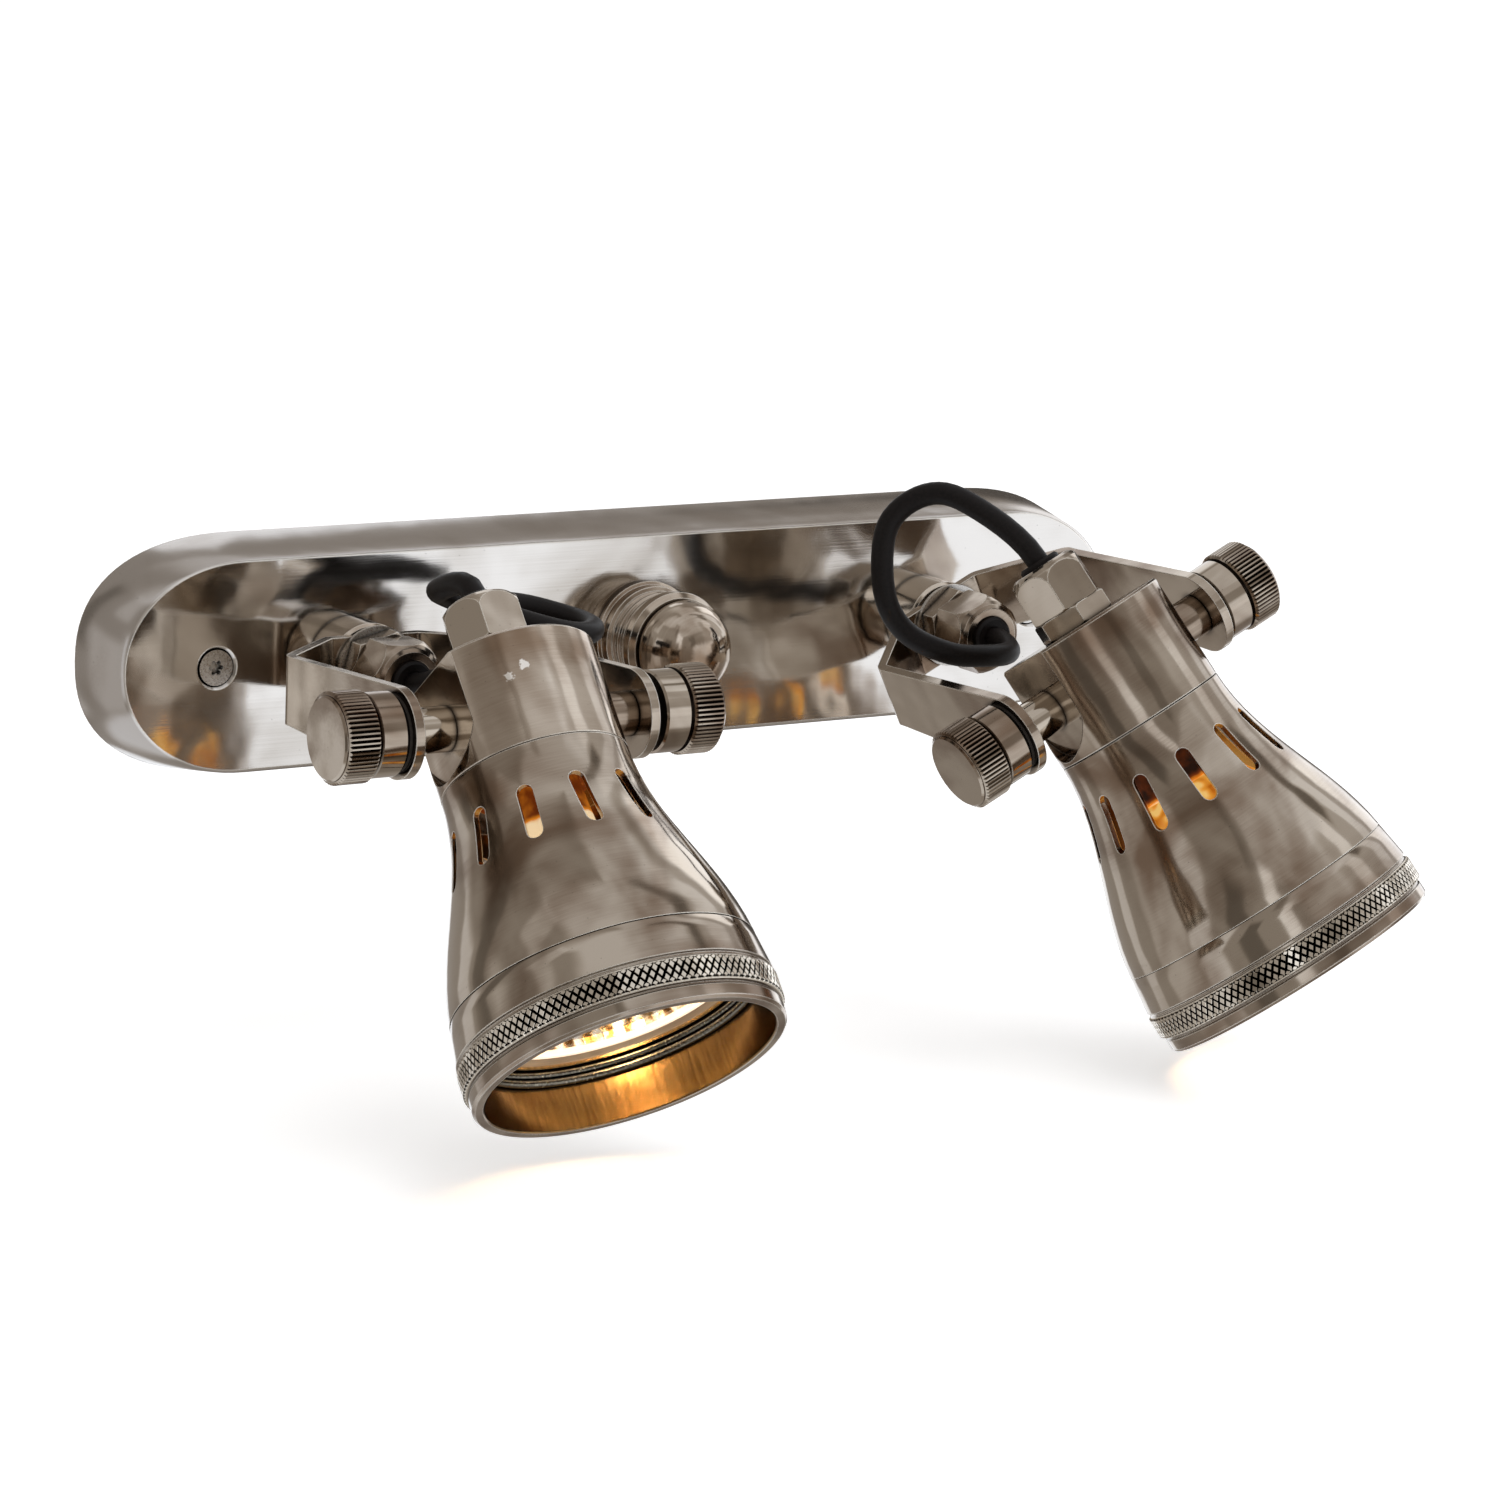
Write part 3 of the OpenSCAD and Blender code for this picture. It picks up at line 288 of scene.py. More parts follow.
def rim_and_face(tree, coords, tone, rubbed):
    """The cover plate's face is a hand-polished mirror; its sloping rim stays a darker satin."""
    on_face = band(tree, split(tree, coords)[1], FACE_OUT - 0.5, FACE_OUT)
    rim = mix_colours(tree, 0.45, tone, linear("6d5b4b"))
    tone = mix_colours(tree, on_face, rim, tone)
    return tone, mix_values(tree, on_face, rubbed, math_node(tree, "MULTIPLY", rubbed, 0.5))


def rubbed_through(tree, coords, tone, rubbed):
    """Two small places on the left housing where handling has rubbed the plating bright."""
    for centre, size in RUBBED_SPOTS:
        off = add(tree, "ShaderNodeVectorMath", {0: coords, 1: centre}, operation="DISTANCE")
        # The noise, 0.5 on average, makes the spot's edge ragged and moves it in by 1.1 mm
        off = plus_share(tree, off.outputs["Value"], noise(tree, coords, 1.1, Detail=3), 2.2)
        tone = mix_colours(tree, band(tree, off, size + 1.3, size + 0.9), tone, linear("f4efe8"))
    return tone, rubbed


def knurl_and_mouth(tree, coords, tone, rubbed):
    """Pale painted glitter on the knurl, near-black painted shade in its grooves, bare brushed brass in the
    mouth.
    """
    radius, along = split(tree, coords)
    middle, half = (KNURL_FROM + KNURL_TO) / 2, (KNURL_TO - KNURL_FROM) / 2
    off = math_node(tree, "ABSOLUTE", math_node(tree, "SUBTRACT", along, middle))
    # Painted shade: the knurl's grooves, below the tips of its diamonds, go near black
    groove_shade = math_node(tree, "MULTIPLY", band(tree, off, half - 0.3, half - 0.45),
                          band(tree, radius, KNURL_R - 0.05, KNURL_R - 0.12))
    # Painted glitter: the whole knurl band is paler than the rest of the ring
    tone = mix_colours(tree, band(tree, off, half + 0.1, half - 0.1), tone, linear("ddd4c6"))
    tone = mix_colours(tree, groove_shade, tone, linear("040201"))
    inside = math_node(tree, "MULTIPLY", band(tree, radius, MOUTH_R + 0.25, MOUTH_R + 0.1),
                       band(tree, along, LAMP_S + 0.5, LAMP_S + 1))
    brushed = add(tree, "ShaderNodeVectorMath", {0: coords, 1: (1.3, 1.3, 0.1)}, operation="MULTIPLY")
    hairs = noise(tree, brushed.outputs[0], 1, Detail=2)
    tone = mix_colours(tree, inside, tone, ramp(tree, hairs, [(0.3, "775a33"), (0.7, "94744a")]))
    return tone, mix_values(tree, inside, rubbed, 0.2)


def plain_metal(name, light, dark, rough):
    """Bare, lightly brushed metal of an inner part, with painted shade in its crevices."""
    material, tree, shader = new_material(name)
    marks = noise(tree, piece_coords(tree, FROM_WALL, (2, 2, 2)), 1, Detail=3)
    shade = add(tree, "ShaderNodeMapRange", {"Value": marks, "To Min": rough - 0.1, "To Max": rough + 0.12})
    # Painted shade: near black where little is open around, as in crevices and between parts
    painted_shade = band(tree, openness(tree, 1.5, 5), 0.3, 0.85, (0.95, 0))
    tone = mix_colours(tree, painted_shade, ramp(tree, marks, [(0.3, dark), (0.7, light)]), linear("0c0805"))
    fill(tree, shader, {"Base Color": tone, "Roughness": shade.outputs[0], "Metallic": 1})
    return material


def soft_black(name, light, dark, rough, grain_mm):
    """Black silicone or fibre with a faint moulded grain."""
    material, tree, shader = new_material(name)
    grain = noise(tree, piece_coords(tree, FROM_WALL), 1 / grain_mm, Detail=3)
    relief = add(tree, "ShaderNodeBump", {"Height": grain, "Strength": 0.25, "Distance": 0.05 * MM})
    shade = add(tree, "ShaderNodeMapRange", {"Value": grain, "To Min": rough - 0.08, "To Max": rough + 0.08})
    fill(tree, shader, {
        "Base Color": ramp(tree, grain, [(0.3, dark), (0.7, light)]), "Roughness": shade.outputs[0],
        "Normal": relief.outputs[0], "Specular IOR Level": 0.22})
    return material


def ceramic(name):
    """Unglazed steatite: off-white, dull, with a fine grain."""
    material, tree, shader = new_material(name)
    grain = noise(tree, piece_coords(tree, FROM_WALL), 1.5, Detail=3)
    tone = ramp(tree, grain, [(0.3, "d9d4c6"), (0.7, "efebe0")])
    fill(tree, shader, {"Base Color": tone, "Roughness": 0.55})
    return material


def let_glow(tree, shader, glow, strength, rough, metallic=0):
    """Gives a shader one colour for what it reflects and for the light that it sends out."""
    fill(tree, shader, {"Base Color": glow, "Emission Color": glow, "Emission Strength": strength,
                        "Roughness": rough, "Metallic": metallic})


def lit_reflector(name, placed):
    """Dichroic glass reflector of a lit halogen lamp, seen from behind: it lets amber light through."""
    material, tree, shader = new_material(name)
    coords = piece_coords(tree, placed)
    spot = noise(tree, coords, 0.22, Detail=1)
    glow = ramp(tree, spot, [(0.38, "c06a16"), (0.5, "f0a23c"), (0.6, "ffd07a")])
    on_rim = band(tree, split(tree, coords)[1], LAMP_S - 3.6, LAMP_S - 3)
    let_glow(tree, shader, mix_colours(tree, on_rim, glow, linear("fff0d8")), 0.65, 0.12)
    return material


def mirror_facets(name, placed):
    """Silvered inside of the lit reflector: each facet throws light forward, some of it warm."""
    material, tree, shader = new_material(name)
    coords = piece_coords(tree, placed)
    parts = add(tree, "ShaderNodeSeparateXYZ", {"Vector": coords}).outputs
    # One bright rib for each facet, 10 degrees apart, broken up along the bowl
    turn = math_node(tree, "ARCTAN2", parts["Y"], parts["X"])
    rib = math_node(tree, "SINE", math_node(tree, "MULTIPLY", turn, FACETS))
    level = plus_share(tree, noise(tree, coords, 0.6), rib, 0.24)
    glow = ramp(tree, level, [(0.26, "4a3018"), (0.42, "a8875a"), (0.56, "f3e0c2"), (0.72, "ffffff")])
    # Deep in the bowl the facets face the capsule and blaze; near the rim they only glow
    blaze = band(tree, parts["Z"], LAMP_S - 4, LAMP_S - 12, (0.3, 1.2))
    let_glow(tree, shader, glow, blaze, 0.12, metallic=1)
    return material


def glowing_capsule(name):
    """Quartz capsule of the burning lamp: the brightest thing in the picture, slightly warm."""
    material, tree, shader = new_material(name)
    fill(tree, shader, {"Base Color": linear("fff4dc"), "Emission Color": linear("ffdca6"),
                        "Emission Strength": 65, "Roughness": 0.2})
    return material


def lit_steatite(name, placed, lit_from, shaded, lit):
    """Steatite foot of the burning lamp, painted with an amber glow for the light through the reflector."""
    material, tree, shader = new_material(name)
    coords = piece_coords(tree, placed)
    reach = band(tree, split(tree, coords)[1], lit_from - 1, lit_from + 1, (shaded, lit))
    painted_glow = plus_share(tree, reach, noise(tree, coords, 0.3), 0.5)
    glow = ramp(tree, painted_glow, [(0.25, "1c0a03"), (0.5, "6e3009"), (0.8, "e58a22"), (1.0, "ffe9bc")])
    let_glow(tree, shader, glow, 0.6, 0.6)
    return material


def clear_glass(name):
    """Thin clear cover glass."""
    material, tree, shader = new_material(name)
    fill(tree, shader, {"Base Color": linear("ffffff"), "Transmission Weight": 1, "Roughness": 0.03,
                        "IOR": 1.12})
    return material


# Brushing: stretched along X on the plate, round the axis on turned pieces
ALONG_X = (0.02, 2.6, 2.6)
ROUND_AXIS = (0.12, 0.12, 3.0)

HEAD_METAL = ["housing", "pivot_posts", "vent_bell", "head_gland_base", "head_gland_nut"]
YOKE_METAL = ["yoke", "yoke_gland_base", "yoke_gland_nut"]


def finish_with(material, *nodes):
    for name in nodes:
        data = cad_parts[name].data
        data.materials.clear()
        data.materials.append(material)


def dress_frame():
    """Gives each CAD node its finish."""
    # Pale mirror face with fine brushing along the plate, and a satin rim
    plate = antique_metal("polished_tin_plate", FROM_WALL, ALONG_X, light="e6e2dd", dark="bab2a8", rough=0.2,
                          cloud_mm=45, crevice=0.6, marked=0.1, extra=rim_and_face)
    finish_with(plate, "backplate")
    # Turned pieces on the plate: smooth, and a little paler than the heads
    turned = antique_metal("turned_tin_plate", FROM_WALL, ROUND_AXIS, light="cdc1b2", dark="8a7562")
    finish_with(turned, "swivel_spacers", "finial_base", "finial")
    # Inner parts: pale steel, yellow brass, matt black rubber and fibre, off-white ceramic, dark wire
    zinc = plain_metal("zinc_plated_steel", "ebe8e3", "c9c5bf", 0.28)
    brass = plain_metal("turned_brass", "c9a15a", "a07c3c", 0.3)
    silicone = soft_black("black_silicone", "16100f", "090605", 0.5, 0.6)
    fibre = soft_black("black_fibre", "3b3631", "25211e", 0.4, 0.4)
    dark_wire = plain_metal("blackened_spring_wire", "8c8678", "57524a", 0.22)
    glass = clear_glass("cover_glass")
    finish_with(zinc, "wall_bracket", "plate_screws", "finial_stud")
    finish_with(brass, "bracket_posts", "terminal_screws")
    finish_with(silicone, "inner_leads")
    finish_with(ceramic("steatite"), "terminal_block")
    for side, side_name in SIDES.items():
        on_head, on_yoke = head_frame(side), yoke_frame(side)
        # Heads: dark warm mirror with brown clouds, bright on every edge from wear and a painted highlight
        turned = antique_metal(f"turned_tin_plate_{side_name}_head", on_head, ROUND_AXIS)
        finish_with(turned, *[f"{n}_{side}" for n in HEAD_METAL])
        if side == "l":
            finish_with(antique_metal("rubbed_tin_plate_left_housing", on_head, ROUND_AXIS,
                                      light="cbbfb0", dark="8a7562", extra=rubbed_through), "housing_l")
        # Front ring: the same, with warm brass inside the mouth; a painted glitter on its knurl, and painted
        # shade in its grooves
        rolled = antique_metal(f"knurled_tin_plate_{side_name}_head", on_head, ROUND_AXIS,
                               extra=knurl_and_mouth)
        finish_with(rolled, f"front_ring_{side}")
        antique_metal(f"diamond_knurled_tin_plate_{side_name}_head", on_head, ROUND_AXIS, crevice=0.95,
                      edge_mm=0, marked=0, extra=knurl_and_mouth)
        # Thumb screws: dark between their ridges, partly patina and partly painted shade
        ribbed = antique_metal(f"ribbed_tin_plate_{side_name}_head", on_yoke, (0.08, 1.2, 1.2), crevice=0.97,
                               edge_mm=0)
        finish_with(ribbed, f"outer_thumb_screw_{side}", f"inner_thumb_screw_{side}")
        # Yokes: brushed along the strip, so less of a mirror
        strip = antique_metal(f"brushed_tin_plate_{side_name}_yoke", on_yoke, (0.08, 2.6, 0.5), rough=0.15)
        finish_with(strip, *[f"{n}_{side}" for n in YOKE_METAL])
        finish_with(zinc, f"gland_washer_{side}", f"nipple_nut_{side}", f"holder_plate_{side}")
        finish_with(brass, f"swivel_nipple_{side}")
        finish_with(silicone, f"yoke_gland_seal_{side}", f"head_gland_seal_{side}", f"flex_{side}")
        finish_with(fibre, f"knob_washers_{side}")
        finish_with(lit_steatite(f"lit_steatite_{side_name}", on_head, *FOOT_LIGHT[side]),
                    f"lamp_foot_{side}", f"lamp_holder_{side}")
        finish_with(dark_wire, f"snap_rings_{side}")
        finish_with(glass, f"lamp_glass_{side}")
        finish_with(lit_reflector(f"lit_reflector_{side_name}", on_head), f"lamp_reflector_{side}")


dress_frame()

# Flexes, on the routes of the part's source: across, up and out from the wall, in millimetres
LOOP = {
    "l": [(4.5, 4, 54), (12, 9.5, 53), (19, 13.5, 40), (28, 13, 37.5), (36, 11, 44.5),
          (36, 10.5, 53.5), (30.5, 10.5, 58.5), (23, 12, 57.5), (10.5, 16, 48), (1, 20, 52)],
    "r": [(-2.5, 0, 54), (-9.5, 4, 59.5), (-19, 10, 59.5), (-25, 18, 55.5), (-25.5, 28, 54),
          (-18.5, 39.5, 52.5), (-10, 43, 57), (-4.5, 39, 63.5)],
}
TUCKED = 1.5          # length of flex inside each seal
ROUTE_STEPS = 6       # pieces between two points of a route


def smooth_route(before, points, after, steps):
    """Points on a smooth curve through the given ones; before and after set how its ends point."""
    ends = [before, *points, after]
    route = []
    for a, b, c, d in zip(ends, ends[1:], ends[2:], ends[3:]):
        for j in range(steps):
            t = j / steps
            route.append(0.5 * (2 * b + (c - a) * t + (2 * a - 5 * b + 4 * c - d) * t * t
                                + (3 * b - a - 3 * c + d) * t ** 3))
    return route + [points[-1]]


def deselect():
    if bpy.context.object and bpy.context.object.mode == "EDIT":
        bpy.ops.object.mode_set(mode="OBJECT")
    bpy.ops.object.select_all(action="DESELECT")


def choose(obj):
    deselect()
    obj.select_set(True)
    bpy.context.view_layer.objects.active = obj


def lay_flex(side):
    """One silicone flex from the seal on the yoke to the seal on the head."""
    on_yoke, on_head = yoke_frame(side), head_frame(side)
    start = on_yoke @ Vector((0, 0, YOKE_SEAL + SEAL_OUT))
    end = on_head @ Vector((0, 0, HEAD_SEAL - SEAL_OUT))
    points = [start, *(on_yoke @ Vector(p) for p in LOOP[side]), end]
    out, back = on_yoke.to_3x3() @ Vector((0, 0, 1)), on_head.to_3x3() @ Vector((0, 0, 1))
    before = points[1] - 2 * (points[1] - start).length * out
    after = points[-2] + 2 * (end - points[-2]).length * back
    route = [on_yoke @ Vector((0, 0, YOKE_SEAL - TUCKED)), *smooth_route(before, points, after, ROUTE_STEPS),
             on_head @ Vector((0, 0, HEAD_SEAL + TUCKED))]
    route = [p * MM for p in route]
    bpy.ops.curve.primitive_nurbs_path_add()
    flex = bpy.context.object
    flex.name = f"{SIDES[side]}_flex"
    flex.data.splines.clear()
    spline = flex.data.splines.new("POLY")
    spline.points.add(len(route) - 1)
    for point, place in zip(spline.points, route):
        point.co = (*place, 1)
    flex.data.bevel_depth = FLEX_R * MM
    flex.data.bevel_resolution = 6
    flex.data.use_fill_caps = True
    choose(flex)
    bpy.ops.object.convert(target="MESH")
    bpy.ops.object.shade_smooth()
    flex.data.materials.append(bpy.data.materials["black_silicone"])
    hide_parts(f"flex_{side}")
    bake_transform(flex)


for side in SIDES:
    lay_flex(side)


WELD_MM = 0.002       # corners of CAD faces that lie this close are joined
FLAT = 0.2            # CAD triangles that meet within this angle are one face, in degrees
CREASE = 26           # edges from this angle on stay sharp, in degrees
PLATE_CREASE = 38


def shade_smooth_copy(node, name, body, sharp_angle):
    """A copy of a CAD node with its corners joined, so that its curved faces shade without facets."""
    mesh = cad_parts[node].data.copy()
    piece = bpy.data.objects.new(name, mesh)
    bpy.context.scene.collection.objects.link(piece)
    choose(piece)
    bpy.ops.object.mode_set(mode="EDIT")
    bpy.ops.mesh.select_all(action="SELECT")
    bpy.ops.mesh.customdata_custom_splitnormals_clear()
    bpy.ops.mesh.remove_doubles(threshold=WELD_MM * MM)
    bpy.ops.mesh.dissolve_limited(angle_limit=math.radians(FLAT))
    bpy.ops.object.mode_set(mode="OBJECT")
    bpy.ops.object.shade_smooth_by_angle(angle=math.radians(sharp_angle))
    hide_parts(node)
    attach(piece, body)


shade_smooth_copy("backplate", "pressed_cover_plate", "root", PLATE_CREASE)
shade_smooth_copy("finial", "polished_finial", "finial_cap", CREASE)
shade_smooth_copy("finial_base", "turned_finial_base", "root", CREASE)
for side, side_name in SIDES.items():
    shade_smooth_copy(f"vent_bell_{side}", f"{side_name}_spun_bell",
                      f"{side_name}_head", CREASE)
    shade_smooth_copy(f"front_ring_{side}", f"{side_name}_turned_ring",
                      f"{side_name}_front_ring", CREASE)

# Fine detail


def settle(obj, placed):
    """Puts a piece drawn in millimetres in its frame on the lamp, with its place in its mesh."""
    choose(obj)
    obj.matrix_world = Matrix.Scale(MM, 4) @ placed
    bpy.ops.object.transform_apply(location=True, rotation=True, scale=True)


KNURLS = 118
KNURL_ROWS = 3
KNURL_MARGIN = 0.15   # left plain at each edge of the band
DIAMOND_TOP, DIAMOND_FOOT, DIAMOND_DEPTH = 0.3, 0.5, 0.4


def knurl_band(side):
    """Diamond knurl round the front ring: two staggered columns of blunt diamonds, copied round it."""
    pitch = 2 * math.pi * KNURL_R / KNURLS
    half_turn = math.pi / KNURLS
    height = (KNURL_TO - KNURL_FROM - 2 * KNURL_MARGIN) / (KNURL_ROWS + 1) * 2
    first = KNURL_FROM + KNURL_MARGIN + height / 2
    last = first + height / 2 * (KNURL_ROWS - 1)
    deselect()
    bpy.ops.mesh.primitive_cone_add(vertices=4, radius1=DIAMOND_TOP, radius2=DIAMOND_FOOT,
                                    depth=DIAMOND_DEPTH)
    diamond = bpy.context.object
    diamond.name = f"{SIDES[side]}_diamond_knurl"
    bpy.ops.object.mode_set(mode="EDIT")
    bpy.ops.transform.rotate(value=math.radians(90), orient_axis="Y", center_override=(0, 0, 0))
    bpy.ops.transform.resize(value=(1, pitch, height), center_override=(0, 0, 0))
    bpy.ops.transform.translate(value=(KNURL_R - DIAMOND_DEPTH / 2, 0, first))
    for row in range(1, KNURL_ROWS):
        bpy.ops.mesh.duplicate()
        bpy.ops.transform.translate(value=(0, 0, height / 2))
        sign = 1 if row % 2 else -1
        bpy.ops.transform.rotate(value=sign * half_turn, orient_axis="Z", center_override=(0, 0, 0))
    # Half diamonds where the cuts run out at both edges of the band
    bpy.ops.mesh.duplicate()
    bpy.ops.transform.rotate(value=half_turn, orient_axis="Z", center_override=(0, 0, 0))
    bpy.ops.transform.resize(value=(1, 1, 0.5), center_override=(0, 0, last))
    bpy.ops.transform.translate(value=(0, 0, height * 0.25))
    bpy.ops.mesh.duplicate()
    bpy.ops.transform.translate(value=(0, 0, first - last - height * 0.5))
    bpy.ops.mesh.select_all(action="SELECT")
    bpy.ops.mesh.spin(steps=KNURLS - 1, dupli=True, angle=2 * math.pi * (KNURLS - 1) / KNURLS,
                      center=(0, 0, 0), axis=(0, 0, 1))
    bpy.ops.mesh.select_all(action="SELECT")
    bpy.ops.mesh.normals_make_consistent(inside=False)
    bpy.ops.object.mode_set(mode="OBJECT")
    settle(diamond, head_frame(side))
    diamond.data.materials.append(bpy.data.materials[f"diamond_knurled_tin_plate_{SIDES[side]}_head"])
    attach(diamond, f"{SIDES[side]}_front_ring")


FACETS, FACET_ROWS = 36, 7
BOWL_FROM = LAMP_S - REFLECTOR_L + 1.5  # along the head, as are the next ones
BOWL_TO = LAMP_S - 3.2
BOWL_STRAIGHT = 1.3   # straight part behind the cover glass
BOWL_HOLE_R = LAMP_FOOT_R - 1.4
BOWL_FOOT_R = LAMP_FOOT_R + 1
BOWL_POWER = 0.62     # outline of the reflector, as in the part's source
BOWL_INSET = 1.25     # from the reflector's outside to the facets
BOWL_SHEET = 0.15


def faceted_reflector(side):
    """Silvered inside of the lamp, in staggered rows of facets."""
    deselect()
    bpy.ops.mesh.primitive_circle_add(vertices=FACETS, radius=1, location=(0, 0, 0))
    bowl = bpy.context.object
    bowl.name = f"{SIDES[side]}_lamp_facets"
    bpy.ops.object.mode_set(mode="EDIT")
    bpy.ops.mesh.select_all(action="SELECT")
    bpy.ops.transform.resize(value=(BOWL_HOLE_R, BOWL_HOLE_R, 1))
    bpy.ops.transform.translate(value=(0, 0, BOWL_FROM))
    radius, place = BOWL_HOLE_R, BOWL_FROM
    for row in range(1, FACET_ROWS + 1):
        t = row / FACET_ROWS
        new_radius = BOWL_FOOT_R + (LAMP_R - BOWL_FOOT_R) * t ** BOWL_POWER - BOWL_INSET
        new_place = BOWL_FROM + (BOWL_TO - BOWL_FROM) * t
        bpy.ops.mesh.extrude_edges_move()
        bpy.ops.transform.translate(value=(0, 0, new_place - place))
        bpy.ops.transform.resize(value=(new_radius / radius, new_radius / radius, 1))
        bpy.ops.transform.rotate(value=math.pi / FACETS, orient_axis="Z", center_override=(0, 0, 0))
        radius, place = new_radius, new_place
    bpy.ops.mesh.extrude_edges_move()
    bpy.ops.transform.translate(value=(0, 0, BOWL_STRAIGHT))
    bpy.ops.mesh.select_all(action="SELECT")
    bpy.ops.mesh.quads_convert_to_tris(quad_method="SHORTEST_DIAGONAL")
    bpy.ops.mesh.normals_make_consistent(inside=True)
    bpy.ops.object.mode_set(mode="OBJECT")
    wall = bowl.modifiers.new("wall", "SOLIDIFY")
    wall.thickness, wall.offset = BOWL_SHEET, -1
    bpy.ops.object.modifier_apply(modifier="wall")
    settle(bowl, head_frame(side))
    bowl.data.materials.append(mirror_facets(f"silvered_facets_{SIDES[side]}", head_frame(side)))
    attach(bowl, f"{SIDES[side]}_head")


CAPSULE_R = 4.2
CAPSULE_S = LAMP_S - 10  # middle of its round end, along the head
CAPSULE_LONG = 1.35   # its round end is this much longer than wide
STEM_BELOW = -2       # from here down it is drawn out and pinched
STEM_LONG, STEM_THIN = 3.5, 0.6


def lamp_capsule(side):
    """Quartz capsule in the middle of the reflector: a tube with a rounded end and a pinched foot."""
    deselect()
    bpy.ops.mesh.primitive_uv_sphere_add(segments=24, ring_count=12, radius=CAPSULE_R,
                                         location=(0, 0, CAPSULE_S))
    capsule = bpy.context.object
    capsule.name = f"{SIDES[side]}_lamp_capsule"
    bpy.ops.object.mode_set(mode="EDIT")
    bpy.ops.mesh.select_all(action="SELECT")
    bpy.ops.transform.resize(value=(1, 1, CAPSULE_LONG))
    bpy.ops.object.mode_set(mode="OBJECT")
    for vertex in capsule.data.vertices:
        if vertex.co.z < STEM_BELOW:
            vertex.co.z *= STEM_LONG
            vertex.co.y *= STEM_THIN
    bpy.ops.object.shade_smooth()
    bpy.ops.object.transform_apply(location=True, rotation=True, scale=True)
    settle(capsule, head_frame(side))
    capsule.data.materials.append(bpy.data.materials["glowing_quartz"])
    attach(capsule, f"{SIDES[side]}_head")


glowing_capsule("glowing_quartz")
for side in SIDES:
    knurl_band(side)
    faceted_reflector(side)
    lamp_capsule(side)


# Studio. Panels and dark flags: degrees right of straight out from the wall, degrees up, half width,
# half height, and the light that each adds, or for a flag the share that it leaves
PANELS = [
    (120, 8, 10, 36, 1.3), (98, 30, 6, 26, 0.45), (64, 32, 9, 22, 0.55), (72, 30, 40, 34, 0.25),
    (40, -10, 38, 24, 0.75), (4, -30, 18, 12, 0.6), (-31, 10, 5, 30, 0.8), (-158, -14, 7, 20, 0.4),
    (158, 4, 9, 40, 0.9), (-108, 44, 10, 12, 0.25), (-86, -4, 9, 28, 0.5), (-114, -14, 18, 28, 0.25),
    (-90, -66, 90, 22, 0.55), (30, 76, 150, 22, 0.4), (0, 46, 40, 10, 0.3),
]
FLAGS = [
    (-58, 2, 7, 24, 0.45), (0, 22, 7, 10, 0.6), (138, 2, 6, 26, 0.25), (-141, 22, 6, 26, 0.5),
    (82, -54, 40, 12, 0.7), (84, 60, 6, 16, 0.3), (-42, 50, 5, 14, 0.6),
]
SOFT_EDGE = (1.15, 0.8)  # shares of a half size between which a panel or flag fades in
BASE_LIGHT = 0.4      # what the dim room itself gives
COOL_AT = 1.6         # brightness at which a panel's light is at its coolest
FLOOR_Z = -0.082      # just under the lowest point that a head can reach
SOFTBOX_AT = (0.25, -0.35, 1.3)


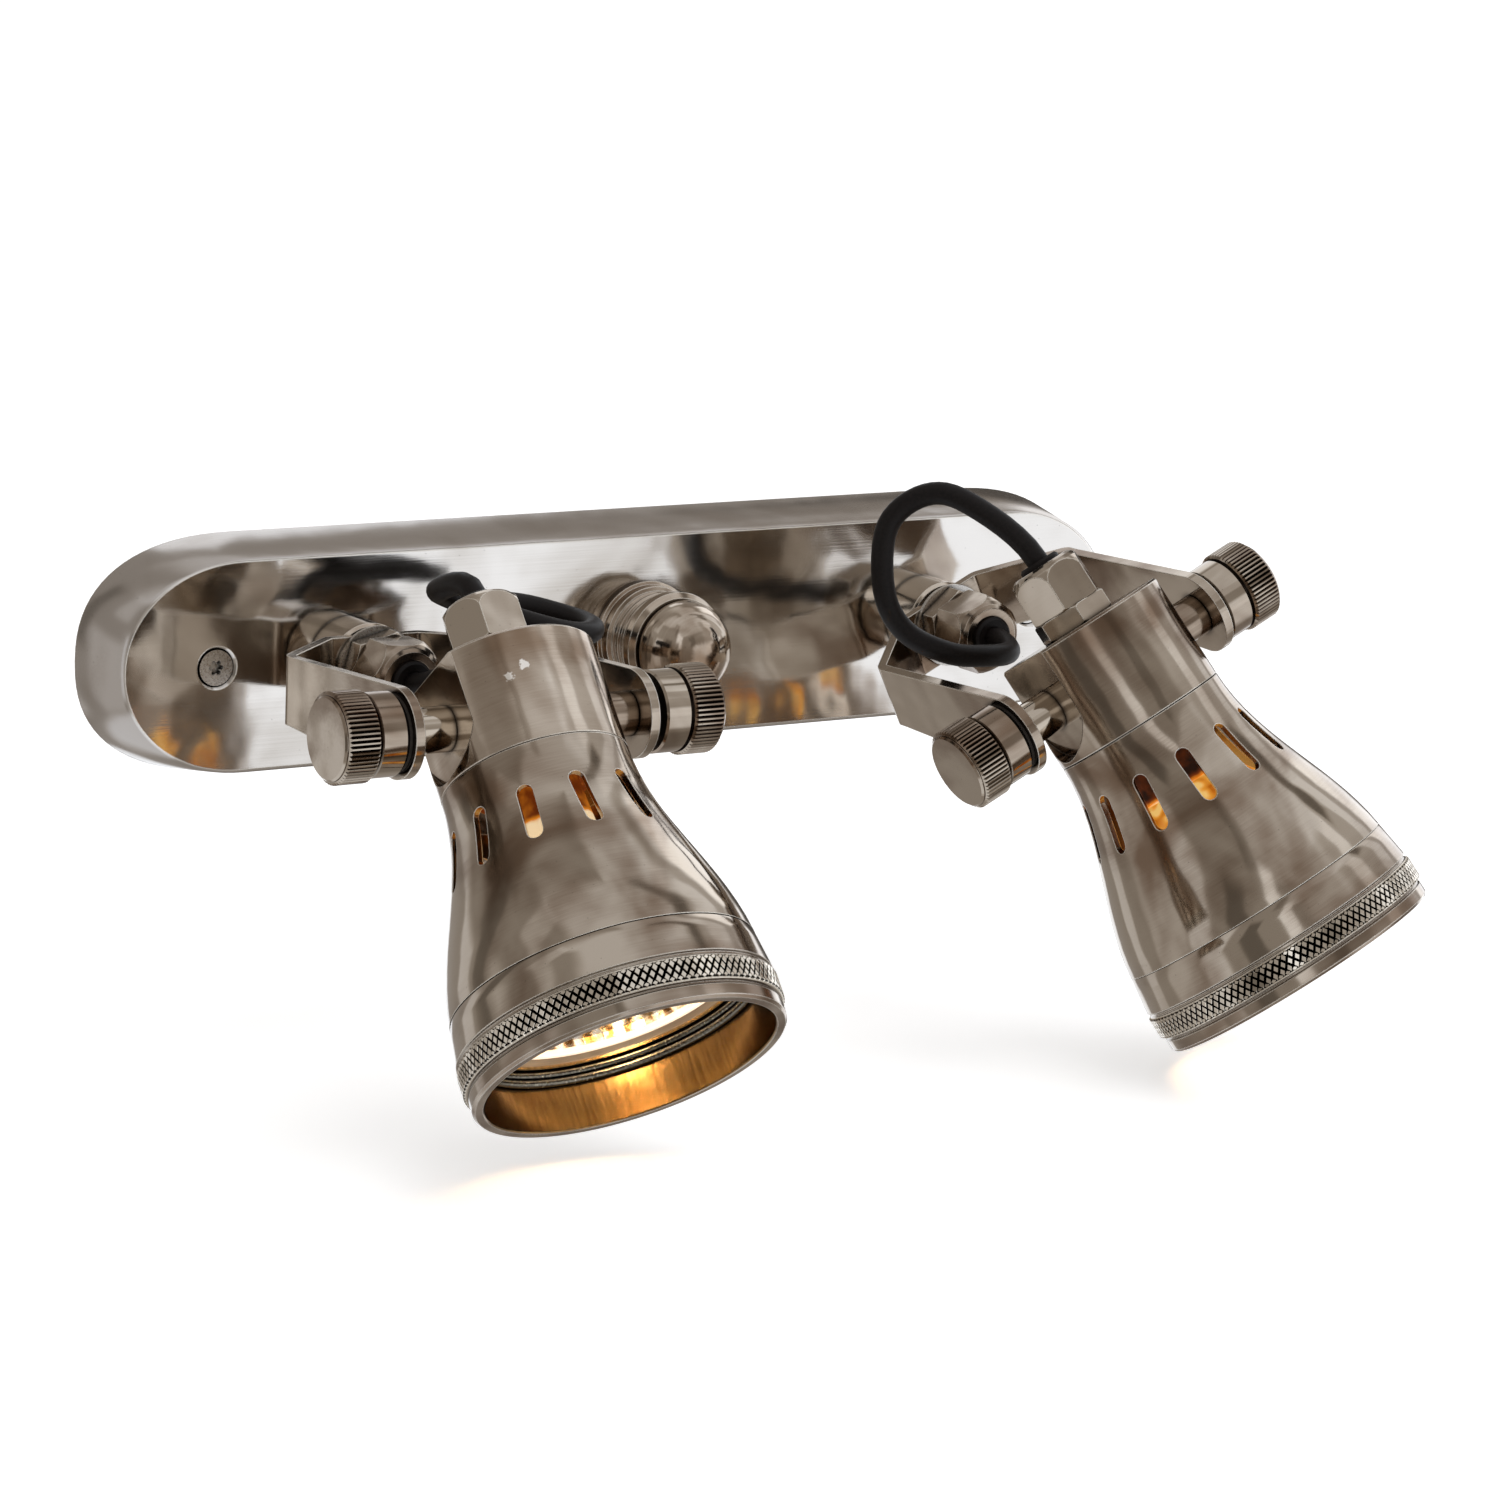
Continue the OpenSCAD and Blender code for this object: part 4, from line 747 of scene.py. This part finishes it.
def room_light(tree):
    """Brightness of the studio in each direction: soft panels on a dim room, with dark flags between."""
    aim = add(tree, "ShaderNodeSeparateXYZ", {
        "Vector": add(tree, "ShaderNodeTexCoord").outputs["Generated"]}).outputs
    to_degrees = math.degrees(1)
    into_room = math_node(tree, "MULTIPLY", aim["Y"], -1)
    across = math_node(tree, "MULTIPLY", math_node(tree, "ARCTAN2", aim["X"], into_room), to_degrees)
    up = math_node(tree, "MULTIPLY", math_node(tree, "ARCSINE", aim["Z"]), to_degrees)

    def within(place, height, half_width, half_height):
        """1 inside a rectangle of directions and 0 outside it, with a soft edge."""
        off = math_node(tree, "WRAP", math_node(tree, "SUBTRACT", across, place), 180, -180)
        off = math_node(tree, "ABSOLUTE", math_node(tree, "DIVIDE", off, half_width))
        above = math_node(tree, "DIVIDE", math_node(tree, "SUBTRACT", up, height), half_height)
        above = math_node(tree, "ABSOLUTE", above)
        return band(tree, math_node(tree, "MAXIMUM", off, above), *SOFT_EDGE)

    light = BASE_LIGHT
    for *where, level in PANELS:
        light = plus_share(tree, light, within(*where), level)
    for *where, left in FLAGS:
        keep = math_node(tree, "SUBTRACT", 1, math_node(tree, "MULTIPLY", within(*where), 1 - left))
        light = math_node(tree, "MULTIPLY", light, keep)
    return light


def studio():
    deselect()
    bpy.ops.mesh.primitive_plane_add(size=8, location=(0, 0, FLOOR_Z))
    floor = bpy.context.object
    floor.name = "floor"
    pale, tree, shader = new_material("pale_floor")
    fill(tree, shader, {"Base Color": linear("f6f6f6"), "Roughness": 0.9,
                        "Emission Color": (1, 1, 1, 1), "Emission Strength": 0.5})
    floor.data.materials.append(pale)
    # The lamp's polished metal mirrors the studio's panels, not the floor
    floor.visible_glossy = False

    world = bpy.data.worlds.new("studio")
    bpy.context.scene.world = world
    world.use_nodes = True
    tree = world.node_tree
    tree.nodes.clear()
    light = room_light(tree)
    shade = ramp(tree, math_node(tree, "DIVIDE", light, COOL_AT), [(0.15, "fff4e8"), (0.6, "f7faff")])
    lit = add(tree, "ShaderNodeVectorMath", {0: shade, "Scale": light}, operation="SCALE").outputs[0]
    # The camera sees plain white, and the metal mirrors the panels
    by_camera = add(tree, "ShaderNodeLightPath").outputs["Is Camera Ray"]
    seen = mix_colours(tree, by_camera, lit, (1, 1, 1, 1))
    background = add(tree, "ShaderNodeBackground", {"Color": seen, "Strength": 1})
    add(tree, "ShaderNodeOutputWorld", {"Surface": background.outputs[0]})

    data = bpy.data.lights.new("overhead_softbox", "AREA")
    data.shape, data.size, data.size_y, data.energy = "RECTANGLE", 1.0, 0.7, 5
    box = bpy.data.objects.new("overhead_softbox", data)
    bpy.context.scene.collection.objects.link(box)
    turn = (-Vector(SOFTBOX_AT)).to_track_quat("-Z", "Y").to_matrix().to_4x4()
    box.matrix_world = Matrix.Translation(SOFTBOX_AT) @ turn
    box.visible_glossy = False


studio()
bpy.context.scene.view_settings.view_transform = "Standard"
